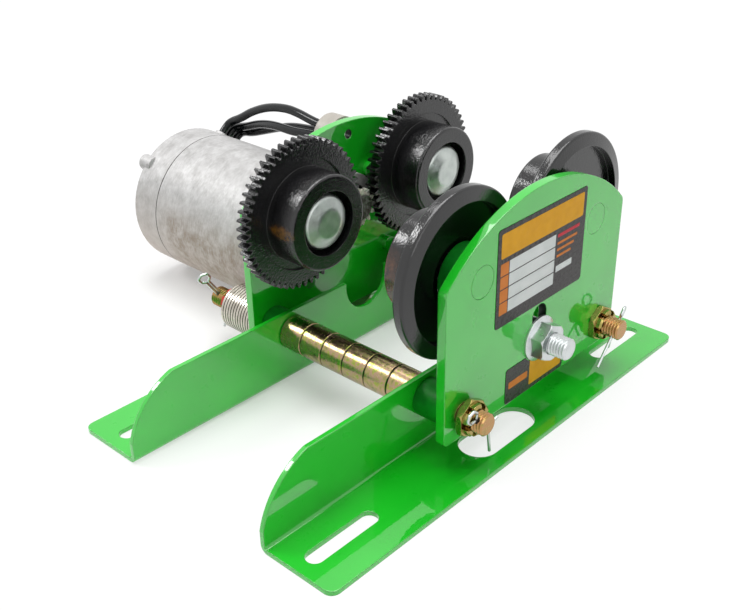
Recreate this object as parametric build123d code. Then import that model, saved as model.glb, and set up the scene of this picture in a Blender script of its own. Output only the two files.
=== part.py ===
from build123d import *
import math
import os

# Motorized beam trolley, in millimetres.
# Origin: centre of the slot pattern, on the underside of the load rails.
# X runs along the beam, Y across it from the idler side to the drive side, Z up.

# Fits
slip_gap = 0.05
rod_hole_gap = 0.25
bush_gap = 0.3
air_gap = 0.4
ball_gap = 0.04
pin_gap = 0.15

# Load rails
rail_length = 340.0
rail_leg = 53.0
rail_height = 50.0
rail_thickness = 3.0
rail_bend = 5.0
rail_end_height = 14.0
rail_end_run = 34.0
rail_end_bulge = 6.5
rail_corner_round = 6.0
slot_length = 52.0
slot_width = 11.0
slot_end_gap = 8.5
slot_offset = 26.7
cutout_length = 61.0
cutout_width = 25.0
cutout_x = -4.0
cutout_offset = 30.2
notch_radius = 20.0
notch_bottom = 25.5

# Place of the wheel set along the rails
trolley_x = 31.4

# Tie rods, with everything strung on them
rod_diameter = 14.0
rod_edge = 16.8
rod_z = 35.2
rod_front_overhang = 18.5
rod_rear_overhang = 21.7
rod_tip_chamfer = 1.0
thread_pitch = 2.0
thread_depth = 1.1
bush_diameter = 23.4
bush_length = 18.6
bush_count = 6
bush_chamfer = 0.8
collar_diameter = 24.0
front_collar_length = 22.0
rear_collar_length = 15.0
washer_diameter = 32.0
washer_thickness = 2.5
washer_count = 12
washer_edge = 0.4
nut_flats = 22.0
nut_height = 8.4
nut_chamfer = 1.2
nut_slot_depth = 4.2
nut_crown_diameter = 20.5
nut_slot_width = 4.2
nut_turn = 2.0
left_nut_slack = 3.5

# Split pins: one wire folded at its eye, near the tips of the rods
pin_from_tip = 4.7
wire_diameter = 1.9
pin_leg_gap = 0.1
eye_half_width = 3.6
eye_length = 8.0
eye_bend = 1.5
leg_bend = 2.6
short_leg = 7.0
short_leg_angle = 60.0
long_leg = 19.5

# Side plates
plate_thickness = 6.0
plate_margin = 31.3
plate_bottom = 19.3
plate_shoulder_rise = 4.2
plate_arch_rise = 41.0
plate_foot_round = 4.0
plate_shoulder_round = 6.0
plate_slot_width = 14.6
plate_slot_length = 31.0
plate_slot_bottom = 46.0
lifting_hole = 6.5
lifting_hole_x = 4.3
lifting_hole_drop = 9.0

# Centre bolt on the front plate
bolt_diameter = 14.0
bolt_x = 1.5
bolt_z = 53.7
bolt_overhang = 12.0
bolt_head_flats = 22.0
flange_nut_turn = 6.0
bolt_head_height = 8.8
flange_nut_height = 11.0
flange_diameter = 29.5
flange_thickness = 3.0

# Blank label plates
label_thickness = 0.3
label_round = 2.0
label_nut_gap = 0.5
rating_label_width = 88.0
rating_label_height = 62.5
rating_label_bottom = 78.0
lower_label_width = 61.0
lower_label_height = 24.5
lower_label_edge = 0.7

# Wheel axles
axle_diameter = 20.0
axle_head_diameter = 36.0
axle_head_flat = 19.0
axle_head_dome = 4.0
axle_head_proud = 1.0
axle_head_back = 7.0
axle_head_round = 6.0
axle_thread_diameter = 16.0
axle_shank_setback = 0.5
axle_tail = 12.0
axle_nut_height = 8.0
boss_diameter = 38.0
boss_nose_diameter = 27.0
boss_nose_length = 1.2

# Wheel bearings
wheel_bearing_outside = 42.0
wheel_bearing_width = 8.0
wheel_bearing_gap = 1.6
wheel_bearing_balls = 10
counterbore_depth = 10.0

# Idler wheels
tread_diameter = 62.0
idler_gap = 8.8
flange_wheel_diameter = 102.0
flange_wheel_width = 7.0
idler_tread_width = 24.0
recess_diameter = 85.0
recess_depth = 5.0
rim_rise = 2.0
wheel_round = 1.8

# Drive wheels and their pinion
drive_gap = 11.8
gear_module = 1.75
wheel_teeth = 55
pinion_teeth = 12
tooth_shift = 0.35
gear_width = 8.5
drive_tread_width = 21.5
groove_diameter = 73.0
groove_depth = 1.5
pinion_drop = 14.8
pinion_setback = 4.0
pinion_proud = 1.0
pressure_angle = 20.0
backlash = 0.12

# Reduction gears inside the gearbox
inner_module = 1.5
reduction_teeth = 42
rotor_teeth = 14
inner_shift = 0.2
reduction_width = 8.0
rotor_pinion_width = 10.0
key_size = 5.0

# Gearbox
cover_thickness = 7.0
spigot_diameter = 42.0
spigot_reach = 6.0
spigot_lip = 2.0
spigot_lip_bore = 28.0
chamber_depth = 13.0
chamber_gap = 1.8
chamber_wall = 3.2
rotor_room = 16.0
bearing_wall = 10.0
motor_wall = 12.0
shaft_diameter = 15.0
shaft_collar = 17.0
front_bearing_outside = 35.0
front_bearing_width = 11.0
shaft_tail_diameter = 12.0
tail_bearing_outside = 28.0
tail_bearing_width = 8.0
shaft_bearing_balls = 8

# Motor
motor_clearance = 1.5
housing_wall = 7.0
motor_length = 143.4
seam_bevel = 0.4
cap_length = 28.6
cap_round = 4.0
cap_wall = 6.0
cap_end = 5.0
cap_lip = 3.0
stator_diameter = 92.0
stator_length = 60.0
stator_start = 55.0
rotor_diameter = 50.0
winding_inside = 56.0
winding_inset = 4.0
winding_reach = 17.0
winding_round = 5.0
end_ring_reach = 4.0
end_ring_inside = 30.0
rotor_shaft_diameter = 16.0
rotor_journal = 12.0
rotor_bearing_outside = 32.0
rotor_bearing_width = 10.0
bearing_boss_wall = 4.0
rotor_hole_gap = 0.6
lug_diameter = 12.0
lug_inset = 3.5
lug_angles = (134.0, 314.0)
lug_length = 12.0
lug_proud = 3.0
cap_screw_diameter = 4.0
cap_screw_depth = 10.0
cap_screw_head = 7.0
cap_screw_head_height = 2.8
mount_screw_diameter = 6.0
mount_screw_head = 10.0
mount_screw_head_height = 4.0
mount_screw_depth = 6.0
low_mount_x = 40.0
low_mount_drop = 2.6
high_mount_x = 22.0
high_mount_rise = 17.9
cover_screw_diameter = 5.0
cover_screw_head = 9.0
cover_screw_head_height = 3.0
cover_screw_depth = 8.0
cover_screw_inset = 8.0
cover_screw_angles = (35.0, 145.0, 229.0, 311.0)

# Capacitor and leads
capacitor_diameter = 30.8
capacitor_length = 15.5
capacitor_round = 2.5
capacitor_angle = 38.35
stud_nut_gap = 0.95
stud_diameter = 6.0
stud_nut_flats = 10.0
stud_nut_height = 5.0
stud_tail = 2.0
ear_diameter = 20.0
ear_thickness = 8.0
lead_diameter = 6.5
lead_pitch = 7.4
lead_hole_circle = 10.0
outlet_angle = 44.0
outlet_lift = 0.5
outlet_width = 25.0
outlet_height = 11.0
outlet_depth = 5.5
outlet_from_end = 7.8
grommet_length = 4.5
grommet_rim = 1.5
lead_run = 8.0

# Places across the beam, worked out from the stack on the tie rods
rail_inner = bush_count * bush_length / 2
rail_outer = rail_inner + rail_thickness
front_plate_back = rail_outer + front_collar_length
front_plate_face = front_plate_back + plate_thickness
rear_plate_front = rail_outer + rear_collar_length
rear_plate_back = rear_plate_front + plate_thickness
washers_end = rear_plate_back + washer_count * washer_thickness
idler_flange_face = front_plate_back - idler_gap
idler_flange_inner = idler_flange_face - flange_wheel_width
idler_rim_edge = idler_flange_face + rim_rise
idler_recess_floor = idler_rim_edge - recess_depth
idler_tread_end = idler_flange_inner - idler_tread_width
gear_back = rear_plate_front - drive_gap
gear_front = gear_back - gear_width
drive_tread_end = gear_front - drive_tread_width
slot_spacing = rail_length - slot_length - 2 * slot_end_gap

# Gear train: both drive wheels mesh with one pinion
wheel_centre_distance = gear_module * (wheel_teeth + pinion_teeth) / 2
axle_half_spacing = math.sqrt(wheel_centre_distance ** 2 - pinion_drop ** 2)
plate_width = 2 * (axle_half_spacing + plate_margin)
rod_spacing = plate_width - 2 * rod_edge
bolt_place = trolley_x + bolt_x

# Motor sizes that follow from the stator
motor_diameter = stator_diameter + 2 * housing_wall
winding_outside = stator_diameter - 2 * winding_inset
lug_circle = motor_diameter - 2 * lug_inset
cover_screw_circle = motor_diameter - 2 * cover_screw_inset

# Heights: the motor just clears the rails, and everything else stands above it
inner_centre_distance = inner_module * (reduction_teeth + rotor_teeth) / 2
motor_z = rail_thickness + motor_clearance + motor_diameter / 2
pinion_z = motor_z + inner_centre_distance
axle_z = pinion_z + pinion_drop
plate_shoulder = axle_z + plate_shoulder_rise
plate_top = axle_z + plate_arch_rise

# Places along the gearbox and the motor
cover_back = rear_plate_back + cover_thickness
chamber_back = cover_back + chamber_depth
bearing_wall_back = chamber_back + bearing_wall
motor_wall_back = chamber_back + motor_wall
motor_seam = rear_plate_back + motor_length
motor_end = motor_seam + cap_length
stator_front = rear_plate_back + stator_start
stator_back = stator_front + stator_length
rotor_rear_bearing = motor_end - cap_end - rotor_bearing_width
front_bearing_y = rear_plate_front - spigot_reach + spigot_lip
reduction_y = cover_back + (chamber_depth - reduction_width) / 2
rotor_pinion_y = cover_back + (chamber_depth - rotor_pinion_width) / 2
rotor_front_bearing = motor_wall_back - rotor_bearing_width

sides = {"left": -1, "right": 1}


def turned(profile, x=0.0, z=0.0):
    """Solid of revolution about a line parallel to Y, from (y, radius, corner round) points."""
    points = [(corner[1], corner[0]) for corner in profile]
    rounds = [corner[2] if len(corner) > 2 else 0 for corner in profile]
    outline = FilletPolyline(*points, radius=rounds, close=True)
    return Pos(x, 0, z) * revolve(make_face(outline), Axis.Y)


def ring(inner_radius, outer_radius, y_low, y_high, x=0.0, z=0.0):
    """Plain ring with its axis along Y."""
    corners = [(y_low, inner_radius), (y_low, outer_radius), (y_high, outer_radius), (y_high, inner_radius)]
    return turned(corners, x, z)


def rod(radius, y_low, y_high, x=0.0, z=0.0):
    """Plain cylinder with its axis along Y."""
    return Pos(x, (y_low + y_high) / 2, z) * Rot(90, 0, 0) * Cylinder(radius, y_high - y_low)


def slab(sketch, y_low, y_high):
    """Flat plate: a sketch in X and Z, given its thickness along Y."""
    return extrude(Plane.XZ.offset(-y_high) * sketch, y_high - y_low)


def polar(radius, angle):
    """Point at an angle in radians."""
    return (radius * math.cos(angle), radius * math.sin(angle))


def threaded(y_from, y_to, radius):
    """Ridges of a thread as (y, radius) points from y_from to y_to, which may run backwards."""
    count = int(abs(y_to - y_from) // thread_pitch)
    step = math.copysign(thread_pitch, y_to - y_from)
    points = []
    for turn in range(count):
        points.append((y_from + turn * step, radius))
        points.append((y_from + (turn + 0.5) * step, radius - thread_depth))
    points.append((y_from + count * step, radius))
    return points


def hexagon(flats, angle=0.0):
    """Hexagon sketch with a flat facing the given angle."""
    return Rot(0, 0, angle - 30) * RegularPolygon(flats / 2, 6, major_radius=False)


def gear_sketch(teeth, module, shift, phase):
    """Involute gear outline about the origin, with a tooth centred at phase degrees."""
    alpha = math.radians(pressure_angle)
    pitch_radius = module * teeth / 2
    base_radius = pitch_radius * math.cos(alpha)
    tip_radius = pitch_radius + module * (1 + shift)
    root_radius = pitch_radius - module * (1.25 - shift)
    flank_start = max(base_radius, root_radius)
    pitch_half = (math.pi / 2 + 2 * shift * math.tan(alpha)) / teeth - backlash / (4 * pitch_radius)

    def half_angle(radius):
        slope = math.acos(min(1.0, base_radius / radius))
        return pitch_half + (math.tan(alpha) - alpha) - (math.tan(slope) - slope)

    radii = (flank_start, (flank_start + tip_radius) / 2, tip_radius)
    edges = []
    for tooth in range(teeth):
        centre = math.radians(phase) + 2 * math.pi * tooth / teeth
        following = centre + 2 * math.pi / teeth
        rise = [polar(radius, centre - half_angle(radius)) for radius in radii]
        fall = [polar(radius, centre + half_angle(radius)) for radius in reversed(radii)]
        root_end = polar(root_radius, centre + half_angle(flank_start))
        root_next = polar(root_radius, following - half_angle(flank_start))
        edges.append(ThreePointArc(*rise))
        edges.append(ThreePointArc(rise[-1], polar(tip_radius, centre), fall[0]))
        edges.append(ThreePointArc(*fall))
        if flank_start > root_radius:
            edges.append(Line(fall[-1], root_end))
            edges.append(Line(root_next, polar(flank_start, following - half_angle(flank_start))))
        edges.append(ThreePointArc(root_end, polar(root_radius, (centre + following) / 2), root_next))
    return make_face(edges)


def meshing_phase(driver_phase, direction, driver_teeth, driven_teeth):
    """Tooth phase of a gear that meshes with a driver lying in the given direction from that driver."""
    lag = (driver_phase - direction) * driver_teeth / driven_teeth
    return direction + 180 - lag + 180 / driven_teeth


def ball_bearing(bore, outside, width, ball_count, y_low, x, z):
    """Inner ring, outer ring and balls of a deep-groove bearing with its axis along Y."""
    pitch = (bore + outside) / 4
    ball = 0.28 * (outside - bore) / 2
    middle = y_low + width / 2
    track = Pos(x, middle, z) * Rot(90, 0, 0) * Torus(pitch, ball)
    land = 0.7 * ball
    inner = ring(bore / 2 + slip_gap, pitch - land, y_low, y_low + width, x, z) - track
    outer = ring(pitch + land, outside / 2 - slip_gap, y_low, y_low + width, x, z) - track
    balls = []
    for index in range(ball_count):
        along, up = polar(pitch, 2 * math.pi * index / ball_count)
        balls.append(Pos(x + along, middle, z + up) * Sphere(ball - ball_gap))
    return inner, outer, balls


def group(solids):
    """Several separate solids under one name."""
    return Compound(children=list(solids))


# Load rails


def load_rail(side):
    """L-angle with rounded slanting ends; side is -1 for the front rail and 1 for the rear one."""
    half = rail_length / 2
    inner = side * rail_inner
    outer = side * (rail_inner + rail_leg)
    web = side * rail_outer
    section = FilletPolyline(
        (inner, 0), (outer, 0), (outer, rail_thickness), (web, rail_thickness), (web, rail_height),
        (inner, rail_height),
        radius=(rail_bend, 0, 0, max(rail_bend - rail_thickness, slip_gap), 0, 0),
        close=True,
    )
    angle = extrude(Plane.YZ.offset(-half) * make_face(section), rail_length)
    top = half - rail_end_run
    rise = rail_height - rail_end_height
    chord = math.hypot(rail_end_run, rise)
    middle_x = half - rail_end_run / 2 + rail_end_bulge * rise / chord
    middle_z = rail_end_height + rise / 2 + rail_end_bulge * rail_end_run / chord
    outline = [
        Line((-half, 0), (half, 0)),
        Line((half, 0), (half, rail_end_height)),
        ThreePointArc((half, rail_end_height), (middle_x, middle_z), (top, rail_height)),
        Line((top, rail_height), (-top, rail_height)),
        ThreePointArc((-top, rail_height), (-middle_x, middle_z), (-half, rail_end_height)),
        Line((-half, rail_end_height), (-half, 0)),
    ]
    reach = max(abs(inner), abs(outer))
    angle &= slab(make_face(outline), -reach, reach)
    plan = FilletPolyline(
        (-half, inner), (half, inner), (half, outer), (-half, outer),
        radius=(0, 0, rail_corner_round, rail_corner_round),
        close=True,
    )
    angle &= extrude(make_face(plan), rail_height)
    for end in (-1, 1):
        slot_place = Pos(end * slot_spacing / 2, side * (rail_inner + slot_offset))
        angle -= extrude(slot_place * SlotOverall(slot_length, slot_width), rail_thickness)
        angle -= rod(rod_diameter / 2 + rod_hole_gap, min(inner, web), max(inner, web),
                     trolley_x + end * rod_spacing / 2, rod_z)
    cutout = Pos(cutout_x, side * (rail_inner + cutout_offset)) * SlotOverall(cutout_length, cutout_width)
    angle -= extrude(cutout, rail_thickness)
    notch_centre = notch_bottom + notch_radius
    notch = Pos(trolley_x, notch_centre) * Circle(notch_radius)
    notch += Pos(trolley_x, notch_centre + rail_height / 2) * Rectangle(2 * notch_radius, rail_height)
    angle -= slab(notch, min(inner, web), max(inner, web))
    return angle


# Side plates


def side_plate(y_low, y_high):
    """Arched plate outline with its tie rod holes."""
    half = plate_width / 2
    low = [
        Line((-half, plate_shoulder), (-half, plate_bottom)),
        Line((-half, plate_bottom), (half, plate_bottom)),
        Line((half, plate_bottom), (half, plate_shoulder)),
        ThreePointArc((half, plate_shoulder), (0, plate_top), (-half, plate_shoulder)),
    ]
    outline = make_face(low)
    feet = outline.vertices().group_by(Axis.Y)[0]
    outline = fillet(feet, plate_foot_round)
    shoulders = [corner for corner in outline.vertices() if abs(corner.Y - plate_shoulder) < slip_gap]
    outline = fillet(shoulders, plate_shoulder_round)
    plate = slab(Pos(trolley_x, 0) * outline, y_low, y_high)
    for end in (-1, 1):
        plate -= rod(rod_diameter / 2 + rod_hole_gap, y_low, y_high, trolley_x + end * rod_spacing / 2, rod_z)
        plate -= rod(axle_diameter / 2 + slip_gap, y_low, y_high, trolley_x + end * axle_half_spacing, axle_z)
    return plate


def mount_screw_places():
    """Places of the four screws that hold the gearbox to the rear plate."""
    places = []
    for end in (-1, 1):
        places.append((trolley_x + end * low_mount_x, motor_z - low_mount_drop))
        places.append((trolley_x + end * high_mount_x, pinion_z + high_mount_rise))
    return places


def front_side_plate():
    """Front plate with the upright slot for the centre bolt."""
    plate = side_plate(-front_plate_face, -front_plate_back)
    slot_middle = plate_slot_bottom + plate_slot_length / 2
    slot = Pos(bolt_place, slot_middle) * Rot(0, 0, 90) * SlotOverall(plate_slot_length, plate_slot_width)
    return plate - slab(slot, -front_plate_face, -front_plate_back)


def rear_side_plate():
    """Rear plate with the gearbox hole, the mounting screw holes and the small top hole."""
    plate = side_plate(rear_plate_front, rear_plate_back)
    plate -= rod(spigot_diameter / 2 + slip_gap, rear_plate_front, rear_plate_back, trolley_x, pinion_z)
    for x, z in mount_screw_places():
        plate -= rod(mount_screw_diameter / 2 + slip_gap, rear_plate_front, rear_plate_back, x, z)
    hole_z = plate_top - lifting_hole_drop
    hole_x = trolley_x + lifting_hole_x
    return plate - rod(lifting_hole / 2, rear_plate_front, rear_plate_back, hole_x, hole_z)


# Tie rods and what is strung on them


front_tip = -(front_plate_face + rod_front_overhang)
rear_tip = washers_end + rod_rear_overhang
front_pin_y = front_tip + pin_from_tip
rear_pin_y = rear_tip - pin_from_tip
pin_hole_radius = wire_diameter + pin_leg_gap / 2 + pin_gap


def rod_x(side):
    return trolley_x + side * rod_spacing / 2


def pin_places(side):
    """Both split pins of a rod: y, angle of the legs, tilt and distance of the eye, bend of the long leg."""
    if side < 0:
        return [(front_pin_y, -40.5, 5.0, 7.4, 38.0), (rear_pin_y, -55.0, 25.0, 20.5, 40.0)]
    return [(front_pin_y, -130.0, -20.0, 7.4, 5.0), (rear_pin_y, -60.0, 25.0, 7.4, 40.0)]


def tie_rod(side):
    """Round rod, threaded at both ends, with cross holes for the split pins."""
    radius = rod_diameter / 2
    profile = [(front_tip, 0), (front_tip, radius - rod_tip_chamfer)]
    profile += threaded(front_tip + rod_tip_chamfer, -front_plate_face, radius)
    profile += list(reversed(threaded(rear_tip - rod_tip_chamfer, washers_end, radius)))
    profile += [(rear_tip, radius - rod_tip_chamfer), (rear_tip, 0)]
    bar = turned(profile, rod_x(side), rod_z)
    for place in pin_places(side):
        cross = Pos(rod_x(side), place[0], rod_z) * Rot(0, -place[1], 0) * Rot(0, 90, 0)
        bar -= cross * Cylinder(pin_hole_radius, 2 * rod_diameter)
    return bar


def tube_on_rod(side, y_low, length, diameter, gap, edge):
    """Short tube with chamfered ends on a tie rod."""
    inner = rod_diameter / 2 + gap
    outer = diameter / 2
    y_high = y_low + length
    profile = [
        (y_low, inner), (y_low, outer - edge), (y_low + edge, outer),
        (y_high - edge, outer), (y_high, outer - edge), (y_high, inner),
    ]
    return turned(profile, rod_x(side), rod_z)


def spacer_bushes(side):
    starts = [index * bush_length - rail_inner for index in range(bush_count)]
    return group(
        tube_on_rod(side, start, bush_length, bush_diameter, bush_gap, bush_chamfer) for start in starts
    )


def collars(y_low, length):
    return group(tube_on_rod(side, y_low, length, collar_diameter, bush_gap, washer_edge) for side in (-1, 1))


def adjusting_washers(side):
    starts = [rear_plate_back + index * washer_thickness for index in range(washer_count)]
    return group(
        tube_on_rod(side, start, washer_thickness, washer_diameter, bush_gap, washer_edge) for start in starts
    )


def castle_nut(side, seat, outward):
    """Hexagon nut with a slotted round crown, whose base lies at y = seat."""
    tip = seat + outward * nut_height
    low, high = min(seat, tip), max(seat, tip)
    x = rod_x(side)
    nut = slab(Pos(x, rod_z) * hexagon(nut_flats, nut_turn), low, high)
    corner = nut_flats / math.sqrt(3)
    crown = nut_crown_diameter / 2
    crown_start = tip - outward * nut_slot_depth
    nut &= turned([
        (seat, 0), (seat, corner - nut_chamfer), (seat + outward * nut_chamfer, corner),
        (crown_start - outward * nut_chamfer, corner), (crown_start, corner - nut_chamfer),
        (crown_start, crown), (tip - outward * nut_chamfer, crown), (tip, crown - nut_chamfer), (tip, 0),
    ], x, rod_z)
    nut -= rod(rod_diameter / 2 + slip_gap, low, high, x, rod_z)
    for turn in range(3):
        slot = Pos(x, tip - outward * nut_slot_depth / 2, rod_z) * Rot(0, -nut_turn - 60 * turn, 0)
        nut -= slot * Box(2 * nut_flats, nut_slot_depth, nut_slot_width)
    return nut


def split_pin(side, pin_y, angle, tilt, eye_start, leg_angle):
    """Folded wire through a rod: eye before it, one short and one long bent leg after it."""
    half = wire_diameter / 2 + pin_leg_gap / 2
    leg_start = rod_diameter / 2 + wire_diameter
    eye_end = eye_start + eye_length
    short_along, short_across = polar(short_leg, math.radians(short_leg_angle))
    long_along, long_across = polar(long_leg, math.radians(leg_angle))
    points = [
        (leg_start + short_along, half + short_across), (leg_start, half), (-eye_start, half),
        (-eye_start - 0.3 * eye_length, eye_half_width), (-eye_end + 0.2 * eye_length, eye_half_width),
        (-eye_end, 0), (-eye_end + 0.2 * eye_length, -eye_half_width),
        (-eye_start - 0.3 * eye_length, -eye_half_width), (-eye_start, -half), (leg_start, -half),
        (leg_start + long_along, -half - long_across),
    ]
    bends = [leg_bend] + [eye_bend] * 7 + [leg_bend]
    along = Vector(1, 0, 0).rotate(Axis.Y, -angle)
    across = Vector(0, 0, 1).rotate(Axis.Y, -angle).rotate(Axis((0, 0, 0), along), tilt)
    plane = Plane((rod_x(side), pin_y, rod_z), x_dir=along, z_dir=along.cross(across))
    path = plane * FilletPolyline(*points, radius=bends)
    start = Plane(path @ 0, z_dir=path % 0)
    return sweep(start * Circle(wire_diameter / 2), path)


# Centre bolt


def centre_bolt():
    """Bolt from behind the front plate, with its head on the plate's inner face."""
    radius = bolt_diameter / 2
    tip = -(front_plate_face + flange_nut_height + bolt_overhang)
    profile = [(-front_plate_back, 0), (-front_plate_back, radius)]
    profile += threaded(-front_plate_face, tip + rod_tip_chamfer, radius)
    profile += [(tip, radius - rod_tip_chamfer), (tip, 0)]
    shank = turned(profile, bolt_place, bolt_z)
    head = slab(Pos(bolt_place, bolt_z) * hexagon(bolt_head_flats), -front_plate_back,
                bolt_head_height - front_plate_back)
    return shank + head


def centre_flange_nut():
    """Hexagon nut with a round flange against the front plate."""
    seat = -front_plate_face
    tip = seat - flange_nut_height
    corner = bolt_head_flats / math.sqrt(3)
    nut = slab(Pos(bolt_place, bolt_z) * hexagon(bolt_head_flats, flange_nut_turn), tip, seat)
    nut &= turned([
        (seat, 0), (seat, corner), (tip + nut_chamfer, corner), (tip, corner - nut_chamfer), (tip, 0),
    ], bolt_place, bolt_z)
    nut += turned([
        (seat, 0), (seat, flange_diameter / 2), (seat - flange_thickness / 2, flange_diameter / 2),
        (seat - flange_thickness, bolt_head_flats / 2), (seat - flange_thickness, 0),
    ], bolt_place, bolt_z)
    return nut - rod(bolt_diameter / 2 + slip_gap, tip, seat, bolt_place, bolt_z)


def label(width, height, bottom):
    """Thin blank plate on the front plate's face."""
    sketch = Pos(trolley_x, bottom + height / 2) * RectangleRounded(width, height, label_round)
    sketch -= Pos(bolt_place, bolt_z) * Circle(flange_diameter / 2 + label_nut_gap)
    return slab(sketch, -front_plate_face - label_thickness, -front_plate_face)


# Wheels, axles and bearings
# Distances run outwards from the end of the tread: counterbore, first bearing, shoulder, second bearing


first_bearing = counterbore_depth
second_bearing = first_bearing + wheel_bearing_width + wheel_bearing_gap
bearings_end = second_bearing + wheel_bearing_width
seat_radius = wheel_bearing_outside / 2
shoulder_radius = seat_radius - 0.28 * (wheel_bearing_outside - axle_diameter) / 4


def axle_x(side):
    return trolley_x + side * axle_half_spacing


def cut_hub(wheel, side, facing, tread_end, hub_end):
    """Bore a wheel for its two bearings, leaving the shoulder between them."""
    shoulder_low = first_bearing + wheel_bearing_width
    steps = [
        (tread_end, shoulder_low + tread_end, seat_radius),
        (tread_end + shoulder_low, tread_end + second_bearing, shoulder_radius),
        (tread_end + second_bearing, hub_end, seat_radius),
    ]
    for near, far, radius in steps:
        low, high = min(facing * near, facing * far), max(facing * near, facing * far)
        wheel -= rod(radius, low, high, axle_x(side), axle_z)
    return wheel


def idler_wheel(side):
    """Plain wheel: tread towards the web, flange towards the plate, its rim coned up to a shallow recess."""
    tread = tread_diameter / 2
    flange = flange_wheel_diameter / 2
    recess = recess_diameter / 2
    wheel = turned([
        (-idler_tread_end, 0), (-idler_tread_end, tread, wheel_round),
        (-idler_flange_inner, tread, wheel_round), (-idler_flange_inner, flange, wheel_round),
        (-idler_flange_face, flange, wheel_round),
        (-idler_rim_edge, recess), (-idler_recess_floor, recess), (-idler_recess_floor, 0),
    ], axle_x(side), axle_z)
    return cut_hub(wheel, side, -1, idler_tread_end, idler_rim_edge)


pinion_phase = 90.0


def drive_wheel(side):
    """Toothed wheel: tread towards the web, gear rim towards the plate, ring groove on the rim's face."""
    direction = math.degrees(math.atan2(pinion_drop, side * axle_half_spacing))
    phase = meshing_phase(pinion_phase, direction, pinion_teeth, wheel_teeth)
    rim_sketch = gear_sketch(wheel_teeth, gear_module, -tooth_shift, phase)
    rim = slab(Pos(axle_x(side), axle_z) * rim_sketch, gear_front, gear_back)
    tread = tread_diameter / 2
    rim -= ring(tread, groove_diameter / 2, gear_front, gear_front + groove_depth, axle_x(side), axle_z)
    wheel = rim + turned([
        (drive_tread_end, 0), (drive_tread_end, tread, wheel_round), (gear_front + groove_depth, tread),
        (gear_front + groove_depth, 0),
    ], axle_x(side), axle_z)
    return cut_hub(wheel, side, 1, drive_tread_end, gear_back)


def axle_profile(facing, tread_end):
    """Domed head and journal of an axle up to the end of its second bearing."""
    head = axle_head_diameter / 2
    face = tread_end - axle_head_proud
    back = tread_end + axle_head_back
    neck = boss_nose_diameter / 2
    bearing = tread_end + first_bearing
    return [
        (facing * face, 0), (facing * face, axle_head_flat / 2, axle_head_round),
        (facing * (face + axle_head_dome), head, axle_head_dome), (facing * back, head),
        (facing * back, neck), (facing * bearing, neck), (facing * bearing, axle_diameter / 2),
    ]


def idler_axle(side):
    """Headed pin through the idler wheel, flush with the front plate's face."""
    radius = axle_diameter / 2
    profile = axle_profile(-1, idler_tread_end)
    profile += [(-front_plate_face + label_thickness, radius), (-front_plate_face, radius - label_thickness)]
    profile += [(-front_plate_face, 0)]
    return turned(profile, axle_x(side), axle_z)


def drive_axle(side):
    """Headed pin through the drive wheel, with a threaded tail behind the rear plate."""
    shank_end = rear_plate_back - axle_shank_setback
    tail_end = rear_plate_back + axle_tail
    tail = axle_thread_diameter / 2
    profile = axle_profile(1, drive_tread_end)
    profile += [(shank_end, axle_diameter / 2), (shank_end, tail)]
    profile += threaded(rear_plate_back, tail_end - rod_tip_chamfer, tail)
    profile += [(tail_end, tail - rod_tip_chamfer), (tail_end, 0)]
    return turned(profile, axle_x(side), axle_z)


def axle_boss(side, facing, tread_end, plate_y):
    """Spacer sleeve between a wheel's inner rings and its plate, narrow where it meets the rings."""
    start = facing * (tread_end + bearings_end)
    bore = axle_diameter / 2 + slip_gap
    wide_from = facing * max(tread_end + bearings_end + boss_nose_length, boss_start(facing))
    return turned([
        (start, bore), (start, boss_nose_diameter / 2), (wide_from, boss_nose_diameter / 2),
        (wide_from, boss_diameter / 2), (facing * plate_y, boss_diameter / 2), (facing * plate_y, bore),
    ], axle_x(side), axle_z)


def boss_start(facing):
    """Distance from the middle at which a boss may be wide: clear of the turning wheel."""
    return boss_nose_length + (gear_back if facing > 0 else idler_recess_floor)


def axle_nut(side):
    """Hexagon nut on a drive axle's tail."""
    low, high = rear_plate_back, rear_plate_back + axle_nut_height
    nut = slab(Pos(axle_x(side), axle_z) * hexagon(nut_flats), low, high)
    return nut - rod(axle_thread_diameter / 2 + slip_gap, low, high, axle_x(side), axle_z)


def wheel_bearings(side, facing, tread_end):
    """Inner rings with the spacer between them, outer rings, and balls of one wheel."""
    inners, outers, balls = [], [], []
    for offset in (first_bearing, second_bearing):
        near, far = facing * (tread_end + offset), facing * (tread_end + offset + wheel_bearing_width)
        inner, outer, rolling = ball_bearing(axle_diameter, wheel_bearing_outside, wheel_bearing_width,
                                             wheel_bearing_balls, min(near, far), axle_x(side), axle_z)
        inners.append(inner)
        outers.append(outer)
        balls += rolling
    near = facing * (tread_end + second_bearing - wheel_bearing_gap)
    far = facing * (tread_end + second_bearing)
    inners.append(ring(axle_diameter / 2 + slip_gap, boss_nose_diameter / 2, min(near, far), max(near, far),
                       axle_x(side), axle_z))
    return inners, outers, balls


# Pinion shaft and reduction gear


reduction_phase = 90.0


def key_block(gap):
    """Key between the pinion shaft and the reduction gear, enlarged by a gap for its seats."""
    size = key_size + 2 * gap
    middle = pinion_z + shaft_collar / 2
    return Pos(trolley_x, reduction_y + reduction_width / 2, middle) * Box(size, reduction_width, size)


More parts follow.
